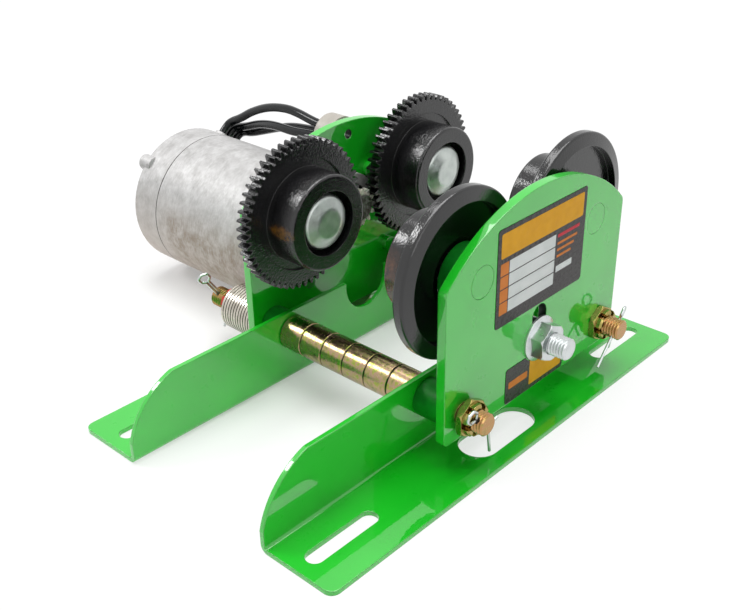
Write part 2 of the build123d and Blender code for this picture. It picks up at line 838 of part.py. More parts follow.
def pinion_shaft():
    """Shaft with the cut pinion at its front end, stepped for two bearings."""
    pinion_low, pinion_high = gear_front + pinion_setback, gear_back + pinion_proud
    teeth = gear_sketch(pinion_teeth, gear_module, tooth_shift, pinion_phase)
    pinion = slab(Pos(trolley_x, pinion_z) * teeth, pinion_low, pinion_high)
    front_bearing_end = front_bearing_y + front_bearing_width
    tail_end = chamber_back + tail_bearing_width
    shaft = turned([
        (pinion_high, 0), (pinion_high, shaft_collar / 2), (front_bearing_y, shaft_collar / 2),
        (front_bearing_y, shaft_diameter / 2), (front_bearing_end, shaft_diameter / 2),
        (front_bearing_end, shaft_collar / 2), (chamber_back, shaft_collar / 2),
        (chamber_back, shaft_tail_diameter / 2), (tail_end, shaft_tail_diameter / 2), (tail_end, 0),
    ], trolley_x, pinion_z)
    return pinion + shaft - key_block(0.0)


def reduction_gear():
    """Gear keyed to the pinion shaft, driven by the rotor's pinion."""
    teeth = gear_sketch(reduction_teeth, inner_module, -inner_shift, reduction_phase)
    gear = slab(Pos(trolley_x, pinion_z) * teeth, reduction_y, reduction_y + reduction_width)
    gear -= rod(shaft_collar / 2 + slip_gap, reduction_y, reduction_y + reduction_width, trolley_x, pinion_z)
    return gear - key_block(slip_gap)


# Gearbox


reduction_tip = inner_module * (reduction_teeth / 2 + 1 - inner_shift)
gearbox_top_radius = reduction_tip + chamber_gap + chamber_wall
capacitor_reach = gearbox_top_radius + stud_nut_flats / math.sqrt(3) + stud_nut_gap
capacitor_x = trolley_x + capacitor_reach * math.cos(math.radians(capacitor_angle))
capacitor_z = pinion_z + capacitor_reach * math.sin(math.radians(capacitor_angle))


def circle_at(radius, x, z):
    return Pos(x, z) * Circle(radius)


def gearbox_outline():
    """Outline round the motor's front and the reduction gear."""
    circles = circle_at(motor_diameter / 2, trolley_x, motor_z)
    circles += circle_at(gearbox_top_radius, trolley_x, pinion_z)
    return make_hull(circles.edges())


def cover_screw_places():
    """Places of the screws that hold the cover to the housing."""
    places = []
    for angle in cover_screw_angles:
        along, up = polar(cover_screw_circle / 2, math.radians(angle))
        places.append((trolley_x + along, motor_z + up))
    return places


def gearbox_cover():
    """Front cover with a spigot through the rear plate that holds the front shaft bearing."""
    cover = slab(gearbox_outline(), rear_plate_back, cover_back)
    spigot_front = rear_plate_front - spigot_reach
    cover += rod(spigot_diameter / 2, spigot_front, cover_back, trolley_x, pinion_z)
    cover -= rod(spigot_lip_bore / 2, spigot_front, front_bearing_y, trolley_x, pinion_z)
    cover -= rod(front_bearing_outside / 2, front_bearing_y, cover_back, trolley_x, pinion_z)
    for x, z in mount_screw_places():
        hole_end = rear_plate_back + mount_screw_depth
        cover -= rod(mount_screw_diameter / 2 + slip_gap, rear_plate_back, hole_end, x, z)
    for x, z in cover_screw_places():
        cover -= rod(cover_screw_diameter / 2 + slip_gap, rear_plate_back, cover_back, x, z)
        head_end = rear_plate_back + cover_screw_head_height
        cover -= rod(cover_screw_head / 2 + slip_gap, rear_plate_back, head_end, x, z)
    return cover


def lug_places():
    """Places of the end cap screws round the motor."""
    places = []
    for angle in lug_angles:
        along, up = polar(lug_circle / 2, math.radians(angle))
        places.append((trolley_x + along, motor_z + up))
    return places


def motor_housing():
    """Casting that holds the reduction gears in front and the stator behind."""
    outer = motor_diameter / 2
    body = turned([
        (cover_back, 0), (cover_back, outer), (motor_seam - seam_bevel, outer),
        (motor_seam, outer - seam_bevel), (motor_seam, 0),
    ], trolley_x, motor_z)
    body += slab(gearbox_outline(), cover_back, bearing_wall_back)
    ear = circle_at(ear_diameter / 2, capacitor_x, capacitor_z)
    ear += circle_at(gearbox_top_radius, trolley_x, pinion_z)
    body += slab(make_hull(ear.edges()), bearing_wall_back - ear_thickness, bearing_wall_back)
    room = circle_at(reduction_tip + chamber_gap, trolley_x, pinion_z)
    room += circle_at(rotor_room, trolley_x, motor_z)
    body -= slab(make_hull(room.edges()), cover_back, chamber_back)
    body -= rod(stator_diameter / 2, motor_wall_back, motor_seam, trolley_x, motor_z)
    tail_seat = chamber_back + tail_bearing_width
    body -= rod(tail_bearing_outside / 2, chamber_back, tail_seat, trolley_x, pinion_z)
    rotor_tip = inner_module * (rotor_teeth / 2 + 1 + inner_shift)
    body -= rod(rotor_tip + rotor_hole_gap, chamber_back, rotor_front_bearing, trolley_x, motor_z)
    body -= rod(rotor_bearing_outside / 2, rotor_front_bearing, motor_wall_back, trolley_x, motor_z)
    body -= rod(stud_diameter / 2 + slip_gap, bearing_wall_back - ear_thickness, bearing_wall_back,
                capacitor_x, capacitor_z)
    for x, z in lug_places():
        body -= rod(cap_screw_diameter / 2 + slip_gap, motor_seam - cap_screw_depth, motor_seam, x, z)
    for x, z in cover_screw_places():
        body -= rod(cover_screw_diameter / 2 + slip_gap, cover_back, cover_back + cover_screw_depth, x, z)
    return body


# Motor rear cap with its lead outlet


outlet_out = Vector(math.cos(math.radians(outlet_angle)), 0, math.sin(math.radians(outlet_angle)))
outlet_face = (
    Vector(trolley_x, motor_end - outlet_from_end, motor_z) + outlet_out * (motor_diameter / 2 + outlet_lift)
)
outlet_up = outlet_out.rotate(Axis.Y, -90)
outlet_plane = Plane(outlet_face, x_dir=outlet_up, z_dir=outlet_out)


def motor_end_cap():
    """Rear cap with the rotor's rear bearing seat, screw lugs and the lead outlet."""
    outer = motor_diameter / 2
    solid_cap = turned([
        (motor_seam, 0), (motor_seam, outer - seam_bevel), (motor_seam + seam_bevel, outer),
        (motor_end, outer, cap_round), (motor_end, 0),
    ], trolley_x, motor_z)
    for x, z in lug_places():
        solid_cap += rod(lug_diameter / 2, motor_end + lug_proud - lug_length, motor_end + lug_proud, x, z)
    pad = SlotOverall(outlet_width, outlet_height)
    solid_cap += extrude(outlet_plane.offset(-outlet_depth) * pad, outlet_depth)
    hollow = ring(rotor_bearing_outside / 2 + bearing_boss_wall, outer - cap_wall, rotor_rear_bearing,
                  motor_end - cap_end, trolley_x, motor_z)
    hollow += rod(outer - cap_wall, motor_seam, rotor_rear_bearing, trolley_x, motor_z)
    cap = solid_cap - hollow
    cap += ring(stator_diameter / 2 - cap_wall, stator_diameter / 2 - slip_gap, motor_seam - cap_lip,
                motor_seam + cap_lip, trolley_x, motor_z) + ring(
        stator_diameter / 2 - cap_wall, outer - cap_wall + slip_gap, motor_seam, motor_seam + cap_lip,
        trolley_x, motor_z)
    cap -= rod(rotor_bearing_outside / 2, rotor_rear_bearing, rotor_rear_bearing + rotor_bearing_width,
               trolley_x, motor_z)
    for x, z in lug_places():
        cap -= rod(cap_screw_diameter / 2 + slip_gap, motor_seam, motor_end + lug_proud, x, z)
    seat = SlotOverall(outlet_width - 2 * grommet_rim, outlet_height - 2 * grommet_rim)
    return cap - extrude(outlet_plane.offset(-grommet_length) * seat, grommet_length)


def lead_start(index):
    """Middle of a lead where it leaves the grommet; index is -1, 0 or 1 from low to high."""
    return outlet_face + outlet_up * index * lead_pitch


def lead_grommet():
    """Rubber insert in the outlet, from which the three leads rise."""
    rim = grommet_rim + slip_gap
    sketch = SlotOverall(outlet_width - 2 * rim, outlet_height - 2 * rim)
    return extrude(outlet_plane.offset(-grommet_length) * sketch, grommet_length)


# Inside the motor


def stator_core():
    return ring(rotor_diameter / 2 + air_gap, stator_diameter / 2 - slip_gap, stator_front, stator_back,
                trolley_x, motor_z)


def stator_windings():
    """Winding heads on both ends of the stator core."""
    inner, outer = winding_inside / 2, winding_outside / 2
    heads = []
    ends = ((stator_front, stator_front - winding_reach), (stator_back, stator_back + winding_reach))
    for near, far in ends:
        heads.append(turned([
            (near, inner), (near, outer), (far, outer, winding_round), (far, inner, winding_round),
        ], trolley_x, motor_z))
    return group(heads)


def rotor_core():
    """Rotor iron with its cast end rings."""
    shaft = rotor_shaft_diameter / 2 + slip_gap
    outer = rotor_diameter / 2
    rings = end_ring_inside / 2
    return turned([
        (stator_front - end_ring_reach, rings), (stator_front - end_ring_reach, outer),
        (stator_back + end_ring_reach, outer), (stator_back + end_ring_reach, rings), (stator_back, rings),
        (stator_back, shaft), (stator_front, shaft), (stator_front, rings),
    ], trolley_x, motor_z)


def rotor_shaft():
    """Rotor shaft with the cut pinion that drives the reduction gear."""
    phase = meshing_phase(reduction_phase, -90.0, reduction_teeth, rotor_teeth)
    teeth = gear_sketch(rotor_teeth, inner_module, inner_shift, phase)
    pinion_end = rotor_pinion_y + rotor_pinion_width
    pinion = slab(Pos(trolley_x, motor_z) * teeth, rotor_pinion_y, pinion_end)
    journal = rotor_journal / 2
    full = rotor_shaft_diameter / 2
    shaft_end = rotor_rear_bearing + rotor_bearing_width
    shaft = turned([
        (pinion_end, 0), (pinion_end, full), (rotor_front_bearing, full), (rotor_front_bearing, journal),
        (motor_wall_back, journal), (motor_wall_back, full), (rotor_rear_bearing, full),
        (rotor_rear_bearing, journal), (shaft_end, journal), (shaft_end, 0),
    ], trolley_x, motor_z)
    return pinion + shaft


# Screws


def headed_screw(x, z, seat, outward, diameter, depth, head, head_height):
    """Screw along Y: head standing outward from its seat, shank running inward."""
    far = seat - outward * depth
    top = seat + outward * head_height
    screw = rod(diameter / 2, min(seat, far), max(seat, far), x, z)
    return screw + rod(head / 2, min(seat, top), max(seat, top), x, z)


def mounting_screws():
    depth = plate_thickness + mount_screw_depth
    return group(
        headed_screw(x, z, rear_plate_front, -1, mount_screw_diameter, depth, mount_screw_head,
                     mount_screw_head_height)
        for x, z in mount_screw_places()
    )


def cover_screws():
    seat = rear_plate_back + cover_screw_head_height
    depth = cover_back - seat + cover_screw_depth
    return group(
        headed_screw(x, z, seat, -1, cover_screw_diameter, depth, cover_screw_head, cover_screw_head_height)
        for x, z in cover_screw_places()
    )


def cap_screws():
    seat = motor_end + lug_proud
    depth = seat - motor_seam + cap_screw_depth
    return group(
        headed_screw(x, z, seat, 1, cap_screw_diameter, depth, cap_screw_head, cap_screw_head_height)
        for x, z in lug_places()
    )


# Capacitor and leads


capacitor_back = bearing_wall_back + capacitor_length
lead_hole_angles = {"left": 210.0, "upper": 90.0, "right": 330.0}


def capacitor():
    """Round capacitor with a threaded stud at its front end."""
    x, z = capacitor_x, capacitor_z
    radius = capacitor_diameter / 2
    stud_end = bearing_wall_back - ear_thickness - stud_nut_height - stud_tail
    return turned([
        (stud_end, 0), (stud_end, stud_diameter / 2), (bearing_wall_back, stud_diameter / 2),
        (bearing_wall_back, radius), (capacitor_back, radius, capacitor_round), (capacitor_back, 0),
    ], x, z)


def capacitor_nut():
    x, z = capacitor_x, capacitor_z
    seat = bearing_wall_back - ear_thickness
    nut = slab(Pos(x, z) * hexagon(stud_nut_flats), seat - stud_nut_height, seat)
    return nut - rod(stud_diameter / 2 + slip_gap, seat - stud_nut_height, seat, x, z)


def lead_end(name):
    """Middle of a lead where it enters the capacitor's rear end."""
    along, up = polar(lead_hole_circle / 2, math.radians(lead_hole_angles[name]))
    return Vector(capacitor_x + along, capacitor_back, capacitor_z + up)


# Places that each lead passes between the motor and the capacitor
lead_order = {"upper": 1, "left": 0, "right": -1}
lead_routes = {
    "upper": [
        (72.6, 239.5, 109.5), (72.5, 228.0, 114.5), (73.0, 215.2, 122.3), (71.5, 194.2, 130.7),
        (69.5, 171.6, 135.1), (67.8, 155.5, 134.8), (66.8, 144.5, 133.3),
    ],
    "left": [
        (78.0, 239.0, 103.3), (76.0, 226.8, 106.7), (73.5, 209.7, 113.3), (68.5, 189.7, 118.7),
        (65.0, 173.4, 121.0), (62.8, 158.5, 121.8), (62.1, 146.0, 123.4),
    ],
    "right": [
        (83.6, 239.2, 97.6), (81.2, 227.0, 100.2), (79.5, 207.6, 107.2), (76.5, 187.5, 114.6),
        (73.5, 169.4, 120.2), (71.4, 149.0, 123.2),
    ],
}


def lead(name):
    """Round lead from the grommet to the capacitor, with arcs as wide as its runs allow."""
    start = lead_start(lead_order[name])
    end = lead_end(name)
    points = [start, start + outlet_out * lead_run]
    points += [Vector(*place) for place in lead_routes[name]]
    points += [end + Vector(0, lead_run, 0), end]
    radii = []
    for before, corner, after in zip(points, points[1:], points[2:]):
        turn = math.radians((corner - before).get_angle(after - corner))
        shorter = min((corner - before).length, (after - corner).length)
        radii.append(0.45 * shorter / math.tan(turn / 2))
    path = FilletPolyline(*points, radius=radii)
    tube = sweep(Plane(path @ 0, z_dir=path % 0) * Circle(lead_diameter / 2), path)
    expected = math.pi * lead_diameter ** 2 / 4 * path.length
    print(f"{name}_lead: length {path.length:.1f}, least radius {min(radii):.1f}")
    print(f"{name}_lead: volume ratio {tube.volume / expected:.4f}")
    return tube


# Assembly: one file for each named piece

nodes = {
    "front_rail": load_rail(-1),
    "rear_rail": load_rail(1),
    "front_side_plate": front_side_plate(),
    "rear_side_plate": rear_side_plate(),
    "front_collars": collars(-front_plate_back, front_collar_length),
    "rear_collars": collars(rail_outer, rear_collar_length),
    "centre_bolt": centre_bolt(),
    "centre_flange_nut": centre_flange_nut(),
    "rating_label": label(rating_label_width, rating_label_height, rating_label_bottom),
    "lower_label": label(lower_label_width, lower_label_height, plate_bottom + lower_label_edge),
    "pinion_shaft": pinion_shaft(),
    "reduction_gear": reduction_gear(),
    "reduction_gear_key": key_block(0.0),
    "gearbox_cover": gearbox_cover(),
    "motor_housing": motor_housing(),
    "motor_end_cap": motor_end_cap(),
    "lead_grommet": lead_grommet(),
    "stator_core": stator_core(),
    "stator_windings": stator_windings(),
    "rotor_core": rotor_core(),
    "rotor_shaft": rotor_shaft(),
    "motor_mounting_screws": mounting_screws(),
    "gearbox_cover_screws": cover_screws(),
    "end_cap_screws": cap_screws(),
    "capacitor": capacitor(),
    "capacitor_nut": capacitor_nut(),
}

front_nuts = []
rear_nuts = []
split_pins = []
wheel_inner_rings = []
wheel_balls = []
for name, side in sides.items():
    nodes[f"{name}_tie_rod"] = tie_rod(side)
    nodes[f"{name}_spacer_bushes"] = spacer_bushes(side)
    nodes[f"{name}_adjusting_washers"] = adjusting_washers(side)
    slack = left_nut_slack if side < 0 else 0
    front_nuts.append(castle_nut(side, -front_plate_face - slack, -1))
    rear_nuts.append(castle_nut(side, washers_end, 1))
    split_pins += [split_pin(side, *place) for place in pin_places(side)]
    nodes[f"{name}_idler_wheel"] = idler_wheel(side)
    nodes[f"{name}_drive_wheel"] = drive_wheel(side)
    nodes[f"{name}_idler_axle"] = idler_axle(side)
    nodes[f"{name}_drive_axle"] = drive_axle(side)
    for kind, facing, tread_end in (("idler", -1, idler_tread_end), ("drive", 1, drive_tread_end)):
        inners, outers, balls = wheel_bearings(side, facing, tread_end)
        nodes[f"{name}_{kind}_outer_rings"] = group(outers)
        wheel_inner_rings += inners
        wheel_balls += balls
nodes["front_castle_nuts"] = group(front_nuts)
nodes["rear_castle_nuts"] = group(rear_nuts)
nodes["split_pins"] = group(split_pins)
nodes["wheel_bearing_inner_rings"] = group(wheel_inner_rings)
nodes["wheel_bearing_balls"] = group(wheel_balls)
nodes["idler_axle_bosses"] = group(axle_boss(side, -1, idler_tread_end, front_plate_back) for side in (-1, 1))
nodes["drive_axle_bosses"] = group(axle_boss(side, 1, drive_tread_end, rear_plate_front) for side in (-1, 1))
nodes["drive_axle_nuts"] = group(axle_nut(side) for side in (-1, 1))

shaft_bearings = [
    ball_bearing(shaft_diameter, front_bearing_outside, front_bearing_width, shaft_bearing_balls,
                 front_bearing_y, trolley_x, pinion_z),
    ball_bearing(shaft_tail_diameter, tail_bearing_outside, tail_bearing_width, shaft_bearing_balls,
                 chamber_back, trolley_x, pinion_z),
]
rotor_bearings = [
    ball_bearing(rotor_journal, rotor_bearing_outside, rotor_bearing_width, shaft_bearing_balls,
                 bearing_y, trolley_x, motor_z)
    for bearing_y in (rotor_front_bearing, rotor_rear_bearing)
]
nodes["shaft_bearing_inner_rings"] = group(bearing[0] for bearing in shaft_bearings)
nodes["rotor_bearing_inner_rings"] = group(bearing[0] for bearing in rotor_bearings)
nodes["motor_bearing_outer_rings"] = group(bearing[1] for bearing in shaft_bearings + rotor_bearings)
nodes["motor_bearing_balls"] = group(
    ball for bearing in shaft_bearings + rotor_bearings for ball in bearing[2]
)
for name in lead_routes:
    nodes[f"{name}_lead"] = lead(name)

os.makedirs("parts", exist_ok=True)
for name, shape in nodes.items():
    export_step(shape, f"parts/{name}.step")
print(f"{len(nodes)} nodes, wheel spacing {2 * axle_half_spacing:.2f}, motor axis height {motor_z:.2f}")
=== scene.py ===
# %% [markdown]
# A motorized beam trolley hangs a hoist under a steel beam and drives it along.
# The engineering model is loaded first, as a fixed frame: every piece of this lesson is placed in
# its coordinates, in metres, with Z up and the beam running along X.

# %% Load the frame
import bpy
import numpy as np
from mathutils import Matrix, Vector


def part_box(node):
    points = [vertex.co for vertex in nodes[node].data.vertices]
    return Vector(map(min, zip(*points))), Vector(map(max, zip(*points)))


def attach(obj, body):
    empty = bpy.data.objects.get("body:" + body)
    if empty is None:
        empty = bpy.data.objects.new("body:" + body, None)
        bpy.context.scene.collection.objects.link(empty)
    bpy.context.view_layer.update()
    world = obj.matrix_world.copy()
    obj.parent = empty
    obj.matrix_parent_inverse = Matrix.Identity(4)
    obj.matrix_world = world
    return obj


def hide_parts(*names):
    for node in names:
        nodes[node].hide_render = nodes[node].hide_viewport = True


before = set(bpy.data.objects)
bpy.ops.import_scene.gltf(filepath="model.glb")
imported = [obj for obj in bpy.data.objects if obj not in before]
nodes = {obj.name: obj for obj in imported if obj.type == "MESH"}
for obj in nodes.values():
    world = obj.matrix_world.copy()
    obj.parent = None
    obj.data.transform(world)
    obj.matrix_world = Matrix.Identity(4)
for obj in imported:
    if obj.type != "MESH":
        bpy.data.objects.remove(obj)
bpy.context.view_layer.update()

# %% [markdown]
# The camera stands to the front left of the trolley, above it, and leans by about one degree.
# Angles could describe it too, but its place and its two directions were fitted to straight edges of
# the rails and plates, and a matrix of right, up and backward vectors holds them as they are.

# %% Camera
image_width = 750
focal_pixels = 1045.558
camera_place = (-0.43551, -0.39181, 0.37937)
camera_data = bpy.data.cameras.new("studio_camera")
camera_data.sensor_width = 36.0
camera_data.lens = focal_pixels / image_width * camera_data.sensor_width
camera_data.clip_end = 20.0
camera = bpy.data.objects.new("studio_camera", camera_data)
bpy.context.scene.collection.objects.link(camera)
looking = Vector((0.63844, 0.60150, -0.48020)).normalized()
rightward = Vector((0.67967, -0.73338, -0.01499)).normalized()
upward = rightward.cross(looking).normalized()
turn = Matrix((rightward, upward, -looking)).transposed().to_4x4()
camera.matrix_world = Matrix.Translation(camera_place) @ turn
bpy.context.scene.camera = camera
print("lens", round(camera_data.lens, 2))

# %% [markdown]
# The studio is a wide white floor under soft light. A large sheet overhead gives most of the light,
# one behind on the left draws the long highlights on treads and leads, and a weak one fills the front.
# The world is white for the camera and for mirror-like reflections, and a dimmer grey for the rest,
# so glossy paint has something white to mirror while the light on the object stays at a plain level.

# %% Studio light
def soft_light(name, place, aim, size, power):
    """Square lamp of the given edge in metres that faces the aimed point."""
    data = bpy.data.lights.new(name, "AREA")
    data.shape = "SQUARE"
    data.size = size
    data.energy = power
    lamp = bpy.data.objects.new(name, data)
    lamp.location = place
    lamp.rotation_euler = (Vector(aim) - Vector(place)).to_track_quat("-Z", "Y").to_euler()
    bpy.context.scene.collection.objects.link(lamp)
    return lamp


middle = (0.03, 0.05, 0.06)
soft_light("overhead_light", (0.1, 0.1, 1.5), middle, 1.2, 21.0)
soft_light("back_left_light", (-0.7, 1.2, 1.3), middle, 0.5, 10.0)
soft_light("front_light", (-0.3, -1.5, 0.9), middle, 0.9, 3.5)

world = bpy.data.worlds.new("studio_world")
bpy.context.scene.world = world
world.use_nodes = True
tree = world.node_tree
background = tree.nodes["Background"]
seen = tree.nodes.new("ShaderNodeLightPath")
mirror_or_camera = tree.nodes.new("ShaderNodeMath")
mirror_or_camera.operation = "MAXIMUM"
tree.links.new(seen.outputs["Is Camera Ray"], mirror_or_camera.inputs[0])
tree.links.new(seen.outputs["Is Glossy Ray"], mirror_or_camera.inputs[1])
strength = tree.nodes.new("ShaderNodeMapRange")
strength.inputs["To Min"].default_value = 0.20
strength.inputs["To Max"].default_value = 1.0
tree.links.new(mirror_or_camera.outputs[0], strength.inputs["Value"])
tree.links.new(strength.outputs["Result"], background.inputs["Strength"])
background.inputs["Color"].default_value = (1.0, 1.0, 1.0, 1.0)
bpy.context.scene.view_settings.view_transform = "Standard"

# %% [markdown]
# A finish is a small graph of nodes. These helpers keep each graph readable: one starts a material,
# one adds a node and connects what it is given, one makes a noise of a stated grain size, one draws a
# pattern out and one does arithmetic. Patterns read Object coordinates, which are metres in the
# frame, so a grain of 2 mm is the same size on every piece, and it turns with a wheel.

# %% Helpers: nodes and noise
def start_finish(name):
    """New material with its shader and the Object coordinate that all its patterns read."""
    material = bpy.data.materials.new(name)
    material.use_nodes = True
    graph = material.node_tree
    place = graph.nodes.new("ShaderNodeTexCoord").outputs["Object"]
    return material, graph, graph.nodes["Principled BSDF"], place


def add(graph, kind, inputs=(), **settings):
    """New node; inputs are (socket, value or output to connect) pairs."""
    made = graph.nodes.new(kind)
    for key, value in settings.items():
        setattr(made, key, value)
    for socket, value in inputs:
        if isinstance(value, bpy.types.NodeSocket):
            graph.links.new(value, made.inputs[socket])
        else:
            made.inputs[socket].default_value = value
    return made


def grain(graph, place, size, detail=3.0, roughness=0.55):
    """Noise between 0 and 1 whose grains are about size metres wide."""
    made = add(graph, "ShaderNodeTexNoise", [("Vector", place), ("Scale", 1.0 / size), ("Detail", detail),
                                             ("Roughness", roughness)])
    return made.outputs["Fac"]


def drawn_out(graph, place, factors):
    """Coordinate multiplied along X, Y and Z, which draws grains out where a factor is below one."""
    return add(graph, "ShaderNodeMapping", [("Vector", place), ("Scale", factors)]).outputs["Vector"]


def total(graph, first, second, operation="ADD"):
    """Sum, product or other result of two numbers."""
    return add(graph, "ShaderNodeMath", [(0, first), (1, second)], operation=operation).outputs[0]


# %% [markdown]
# Colours come next: a ramp turns a number into colours, a blend mixes two of them, and masks say where
# on the object a mark lies. A mask is a number between 0 and 1, soft at its border, worked out from a
# coordinate or from the distance to a point.

# %% Helpers: colours and masks
def colours(graph, value, stops):
    """Colour ramp through (position, (r, g, b)) stops."""
    made = add(graph, "ShaderNodeValToRGB", [("Fac", value)])
    ramp = made.color_ramp
    while len(ramp.elements) < len(stops):
        ramp.elements.new(0.5)
    for element, (position, colour) in zip(ramp.elements, stops):
        element.position = position
        element.color = (*colour, 1.0)
    return made.outputs["Color"]


def spread(graph, value, low, high, from_low=0.3, from_high=0.7):
    """Number stretched so that its range from_low to from_high becomes low to high, held at the ends."""
    made = add(graph, "ShaderNodeMapRange", [("Value", value), ("To Min", low), ("To Max", high),
                                             ("From Min", from_low), ("From Max", from_high)])
    return made.outputs["Result"]


def mixed(graph, amount, first, second):
    """Blend of two colours by an amount between 0 and 1."""
    made = add(graph, "ShaderNodeMix", [(0, amount)], data_type="RGBA")
    for socket, value in ((6, first), (7, second)):
        if isinstance(value, bpy.types.NodeSocket):
            graph.links.new(value, made.inputs[socket])
        else:
            made.inputs[socket].default_value = (*value, 1.0)
    return made.outputs[2]


def along(graph, place, axis):
    """One coordinate, in metres: axis is 0, 1 or 2 for X, Y or Z."""
    return add(graph, "ShaderNodeSeparateXYZ", [("Vector", place)]).outputs[axis]


def between(graph, value, low, high, soft):
    """Mask that is 1 from low to high and fades out over the soft width outside."""
    rise = spread(graph, value, 0.0, 1.0, low - soft, low)
    fall = spread(graph, value, 1.0, 0.0, high, high + soft)
    return total(graph, rise, fall, "MULTIPLY")


def near(graph, place, centre, radius, soft):
    """Mask that is 1 within radius of a point and fades out over the soft width outside."""
    gap = add(graph, "ShaderNodeVectorMath", [(0, place), (1, centre)], operation="DISTANCE")
    return spread(graph, gap.outputs["Value"], 1.0, 0.0, radius, radius + soft)


def inside(graph, place, low, high, soft):
    """Mask that is 1 in the box from corner low to corner high and fades out over the soft width."""
    mask = 1.0
    for axis in range(3):
        slab = between(graph, along(graph, place, axis), low[axis], high[axis], soft)
        mask = total(graph, mask, slab, "MULTIPLY")
    return mask


def joints(graph, place, start, pitch, width):
    """Mask that is 1 on thin lines across Y, one at start and one every pitch after it, in metres."""
    gone = total(graph, along(graph, place, 1), -start)
    fold = total(graph, gone, pitch / 2, "PINGPONG")
    return spread(graph, fold, 1.0, 0.0, width / 2, width)


# %% [markdown]
# Real edges are never sharp. The CAD solids have crisp ones, so the shader rounds them: a Bevel node
# gives the normal of an edge rounded by a stated radius, and bumps are laid over that normal. Where
# the rounded normal leaves the plain one, the surface is an edge. Knocks there show bare metal, and on
# the green coat a lighter green there is a painted highlight.

# %% Helpers: edges and bumps
def rounded(graph, radius):
    """Normal of the surface with its edges rounded by a radius in metres."""
    return add(graph, "ShaderNodeBevel", [("Radius", radius)], samples=6).outputs["Normal"]


def edges(graph, radius):
    """Mask that is 1 on the object's edges, from the turn between the rounded and the plain normal."""
    plain = add(graph, "ShaderNodeNewGeometry").outputs["Normal"]
    match = add(graph, "ShaderNodeVectorMath", [(0, rounded(graph, radius)), (1, plain)],
                operation="DOT_PRODUCT")
    edge_match, face_match = 0.80, 0.98
    return spread(graph, match.outputs["Value"], 1.0, 0.0, edge_match, face_match)


def bumps(graph, shader, height, depth, edge=0.0004):
    """Bumps of the given depth in metres from a height between 0 and 1, over edges rounded by edge."""
    made = add(graph, "ShaderNodeBump", [("Height", height), ("Distance", depth),
                                         ("Normal", rounded(graph, edge))])
    graph.links.new(made.outputs["Normal"], shader.inputs["Normal"])
    return made.outputs["Normal"]


def dress(material, *names):
    """Give CAD nodes a finish."""
    for name in names:
        nodes[name].data.materials.clear()
        nodes[name].data.materials.append(material)
    print(material.name, "on", len(names), "nodes")


# %% [markdown]
# The rails and plates carry a thick glossy green powder coat. A plain glossy shader would be too dull,
# because the real coat is a clear layer over colour and mirrors the nuts beside it, so a second, clear
# coat lies on top. Its colour drifts a little, its surface has the fine waviness called orange peel,
# its edges get a painted highlight of lighter green, and a few knocks there show dark steel. The walls
# of the bolt's slot and of the small hole near the top of the rear plate get a painted shade, near
# black, and have no clear coat.

# %% Green powder coat
green_dark = (0.008, 0.530, 0.017)
green_light = (0.014, 0.600, 0.023)
# The lighter edge green below is a painted highlight.
green_edge_highlight = (0.090, 0.660, 0.070)
chip_dark = (0.03, 0.03, 0.03)
# Near black painted shade for the inside walls of the slot and of the small hole.
hole_wall_shade = (0.003, 0.012, 0.004)
edge_highlight_share = 0.22
peel_grain = 0.0032
peel_depth = 0.000012
plate_skin = 0.0003
slot_middle_z = 0.0615
slot_half_width = 0.0076
slot_half_length = 0.0158
hole_x = 0.0357
hole_z = 0.1463
hole_half = 0.0035


def green_tone(graph, place):
    """Green that drifts between two tones over a few centimetres."""
    return colours(graph, grain(graph, place, 0.05, 2.0), [(0.3, green_dark), (0.7, green_light)])


def clear_coat(graph, shader, normal):
    """Sharp clear layer over a paint, following the same bumps."""
    graph.links.new(normal, shader.inputs["Coat Normal"])
    shader.inputs["Coat Weight"].default_value = 1.0
    shader.inputs["Coat Roughness"].default_value = 0.03
    shader.inputs["Coat IOR"].default_value = 1.8
    shader.inputs["Specular IOR Level"].default_value = 0.15


def hole_wall(graph, place, node, x, z, half_x, half_z):
    """Mask of the wall of a hole or slot in a plate: a box round it, just inside the plate's two faces."""
    low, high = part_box(node)
    near_corner = (x - half_x, low[1] + plate_skin, z - half_z)
    far_corner = (x + half_x, high[1] - plate_skin, z + half_z)
    return inside(graph, place, near_corner, far_corner, 0.0001)


green_paint, graph, shader, place = start_finish("green_powder_coat")
edge_mask = edges(graph, 0.0012)
# Painted highlight: the edges are mixed toward the lighter green by this share.
highlight_share = total(graph, edge_mask, edge_highlight_share, "MULTIPLY")
pale = mixed(graph, highlight_share, green_tone(graph, place), green_edge_highlight)
knocks = spread(graph, grain(graph, place, 0.006, 4.0), 0.0, 1.0, 0.68, 0.72)
chipped = total(graph, knocks, edge_mask, "MULTIPLY")
worn = mixed(graph, chipped, pale, chip_dark)
bolt_low, bolt_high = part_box("centre_bolt")
bolt_x = (bolt_low[0] + bolt_high[0]) / 2
slot_wall = hole_wall(graph, place, "front_side_plate", bolt_x, slot_middle_z, slot_half_width,
                      slot_half_length)
small_wall = hole_wall(graph, place, "rear_side_plate", hole_x, hole_z, hole_half, hole_half)
# Painted shade: this mask covers the walls of the slot and the small hole, which go near black.
bare = total(graph, slot_wall, small_wall, "MAXIMUM")
graph.links.new(mixed(graph, bare, worn, hole_wall_shade), shader.inputs["Base Color"])
graph.links.new(spread(graph, grain(graph, place, 0.012, 5.0), 0.26, 0.38), shader.inputs["Roughness"])
peel = grain(graph, place, peel_grain, 2.0)
clear_coat(graph, shader, bumps(graph, shader, peel, peel_depth, 0.0010))
graph.links.new(total(graph, 1.0, bare, "SUBTRACT"), shader.inputs["Coat Weight"])
dress(green_paint, "front_rail", "rear_rail", "front_side_plate", "rear_side_plate")
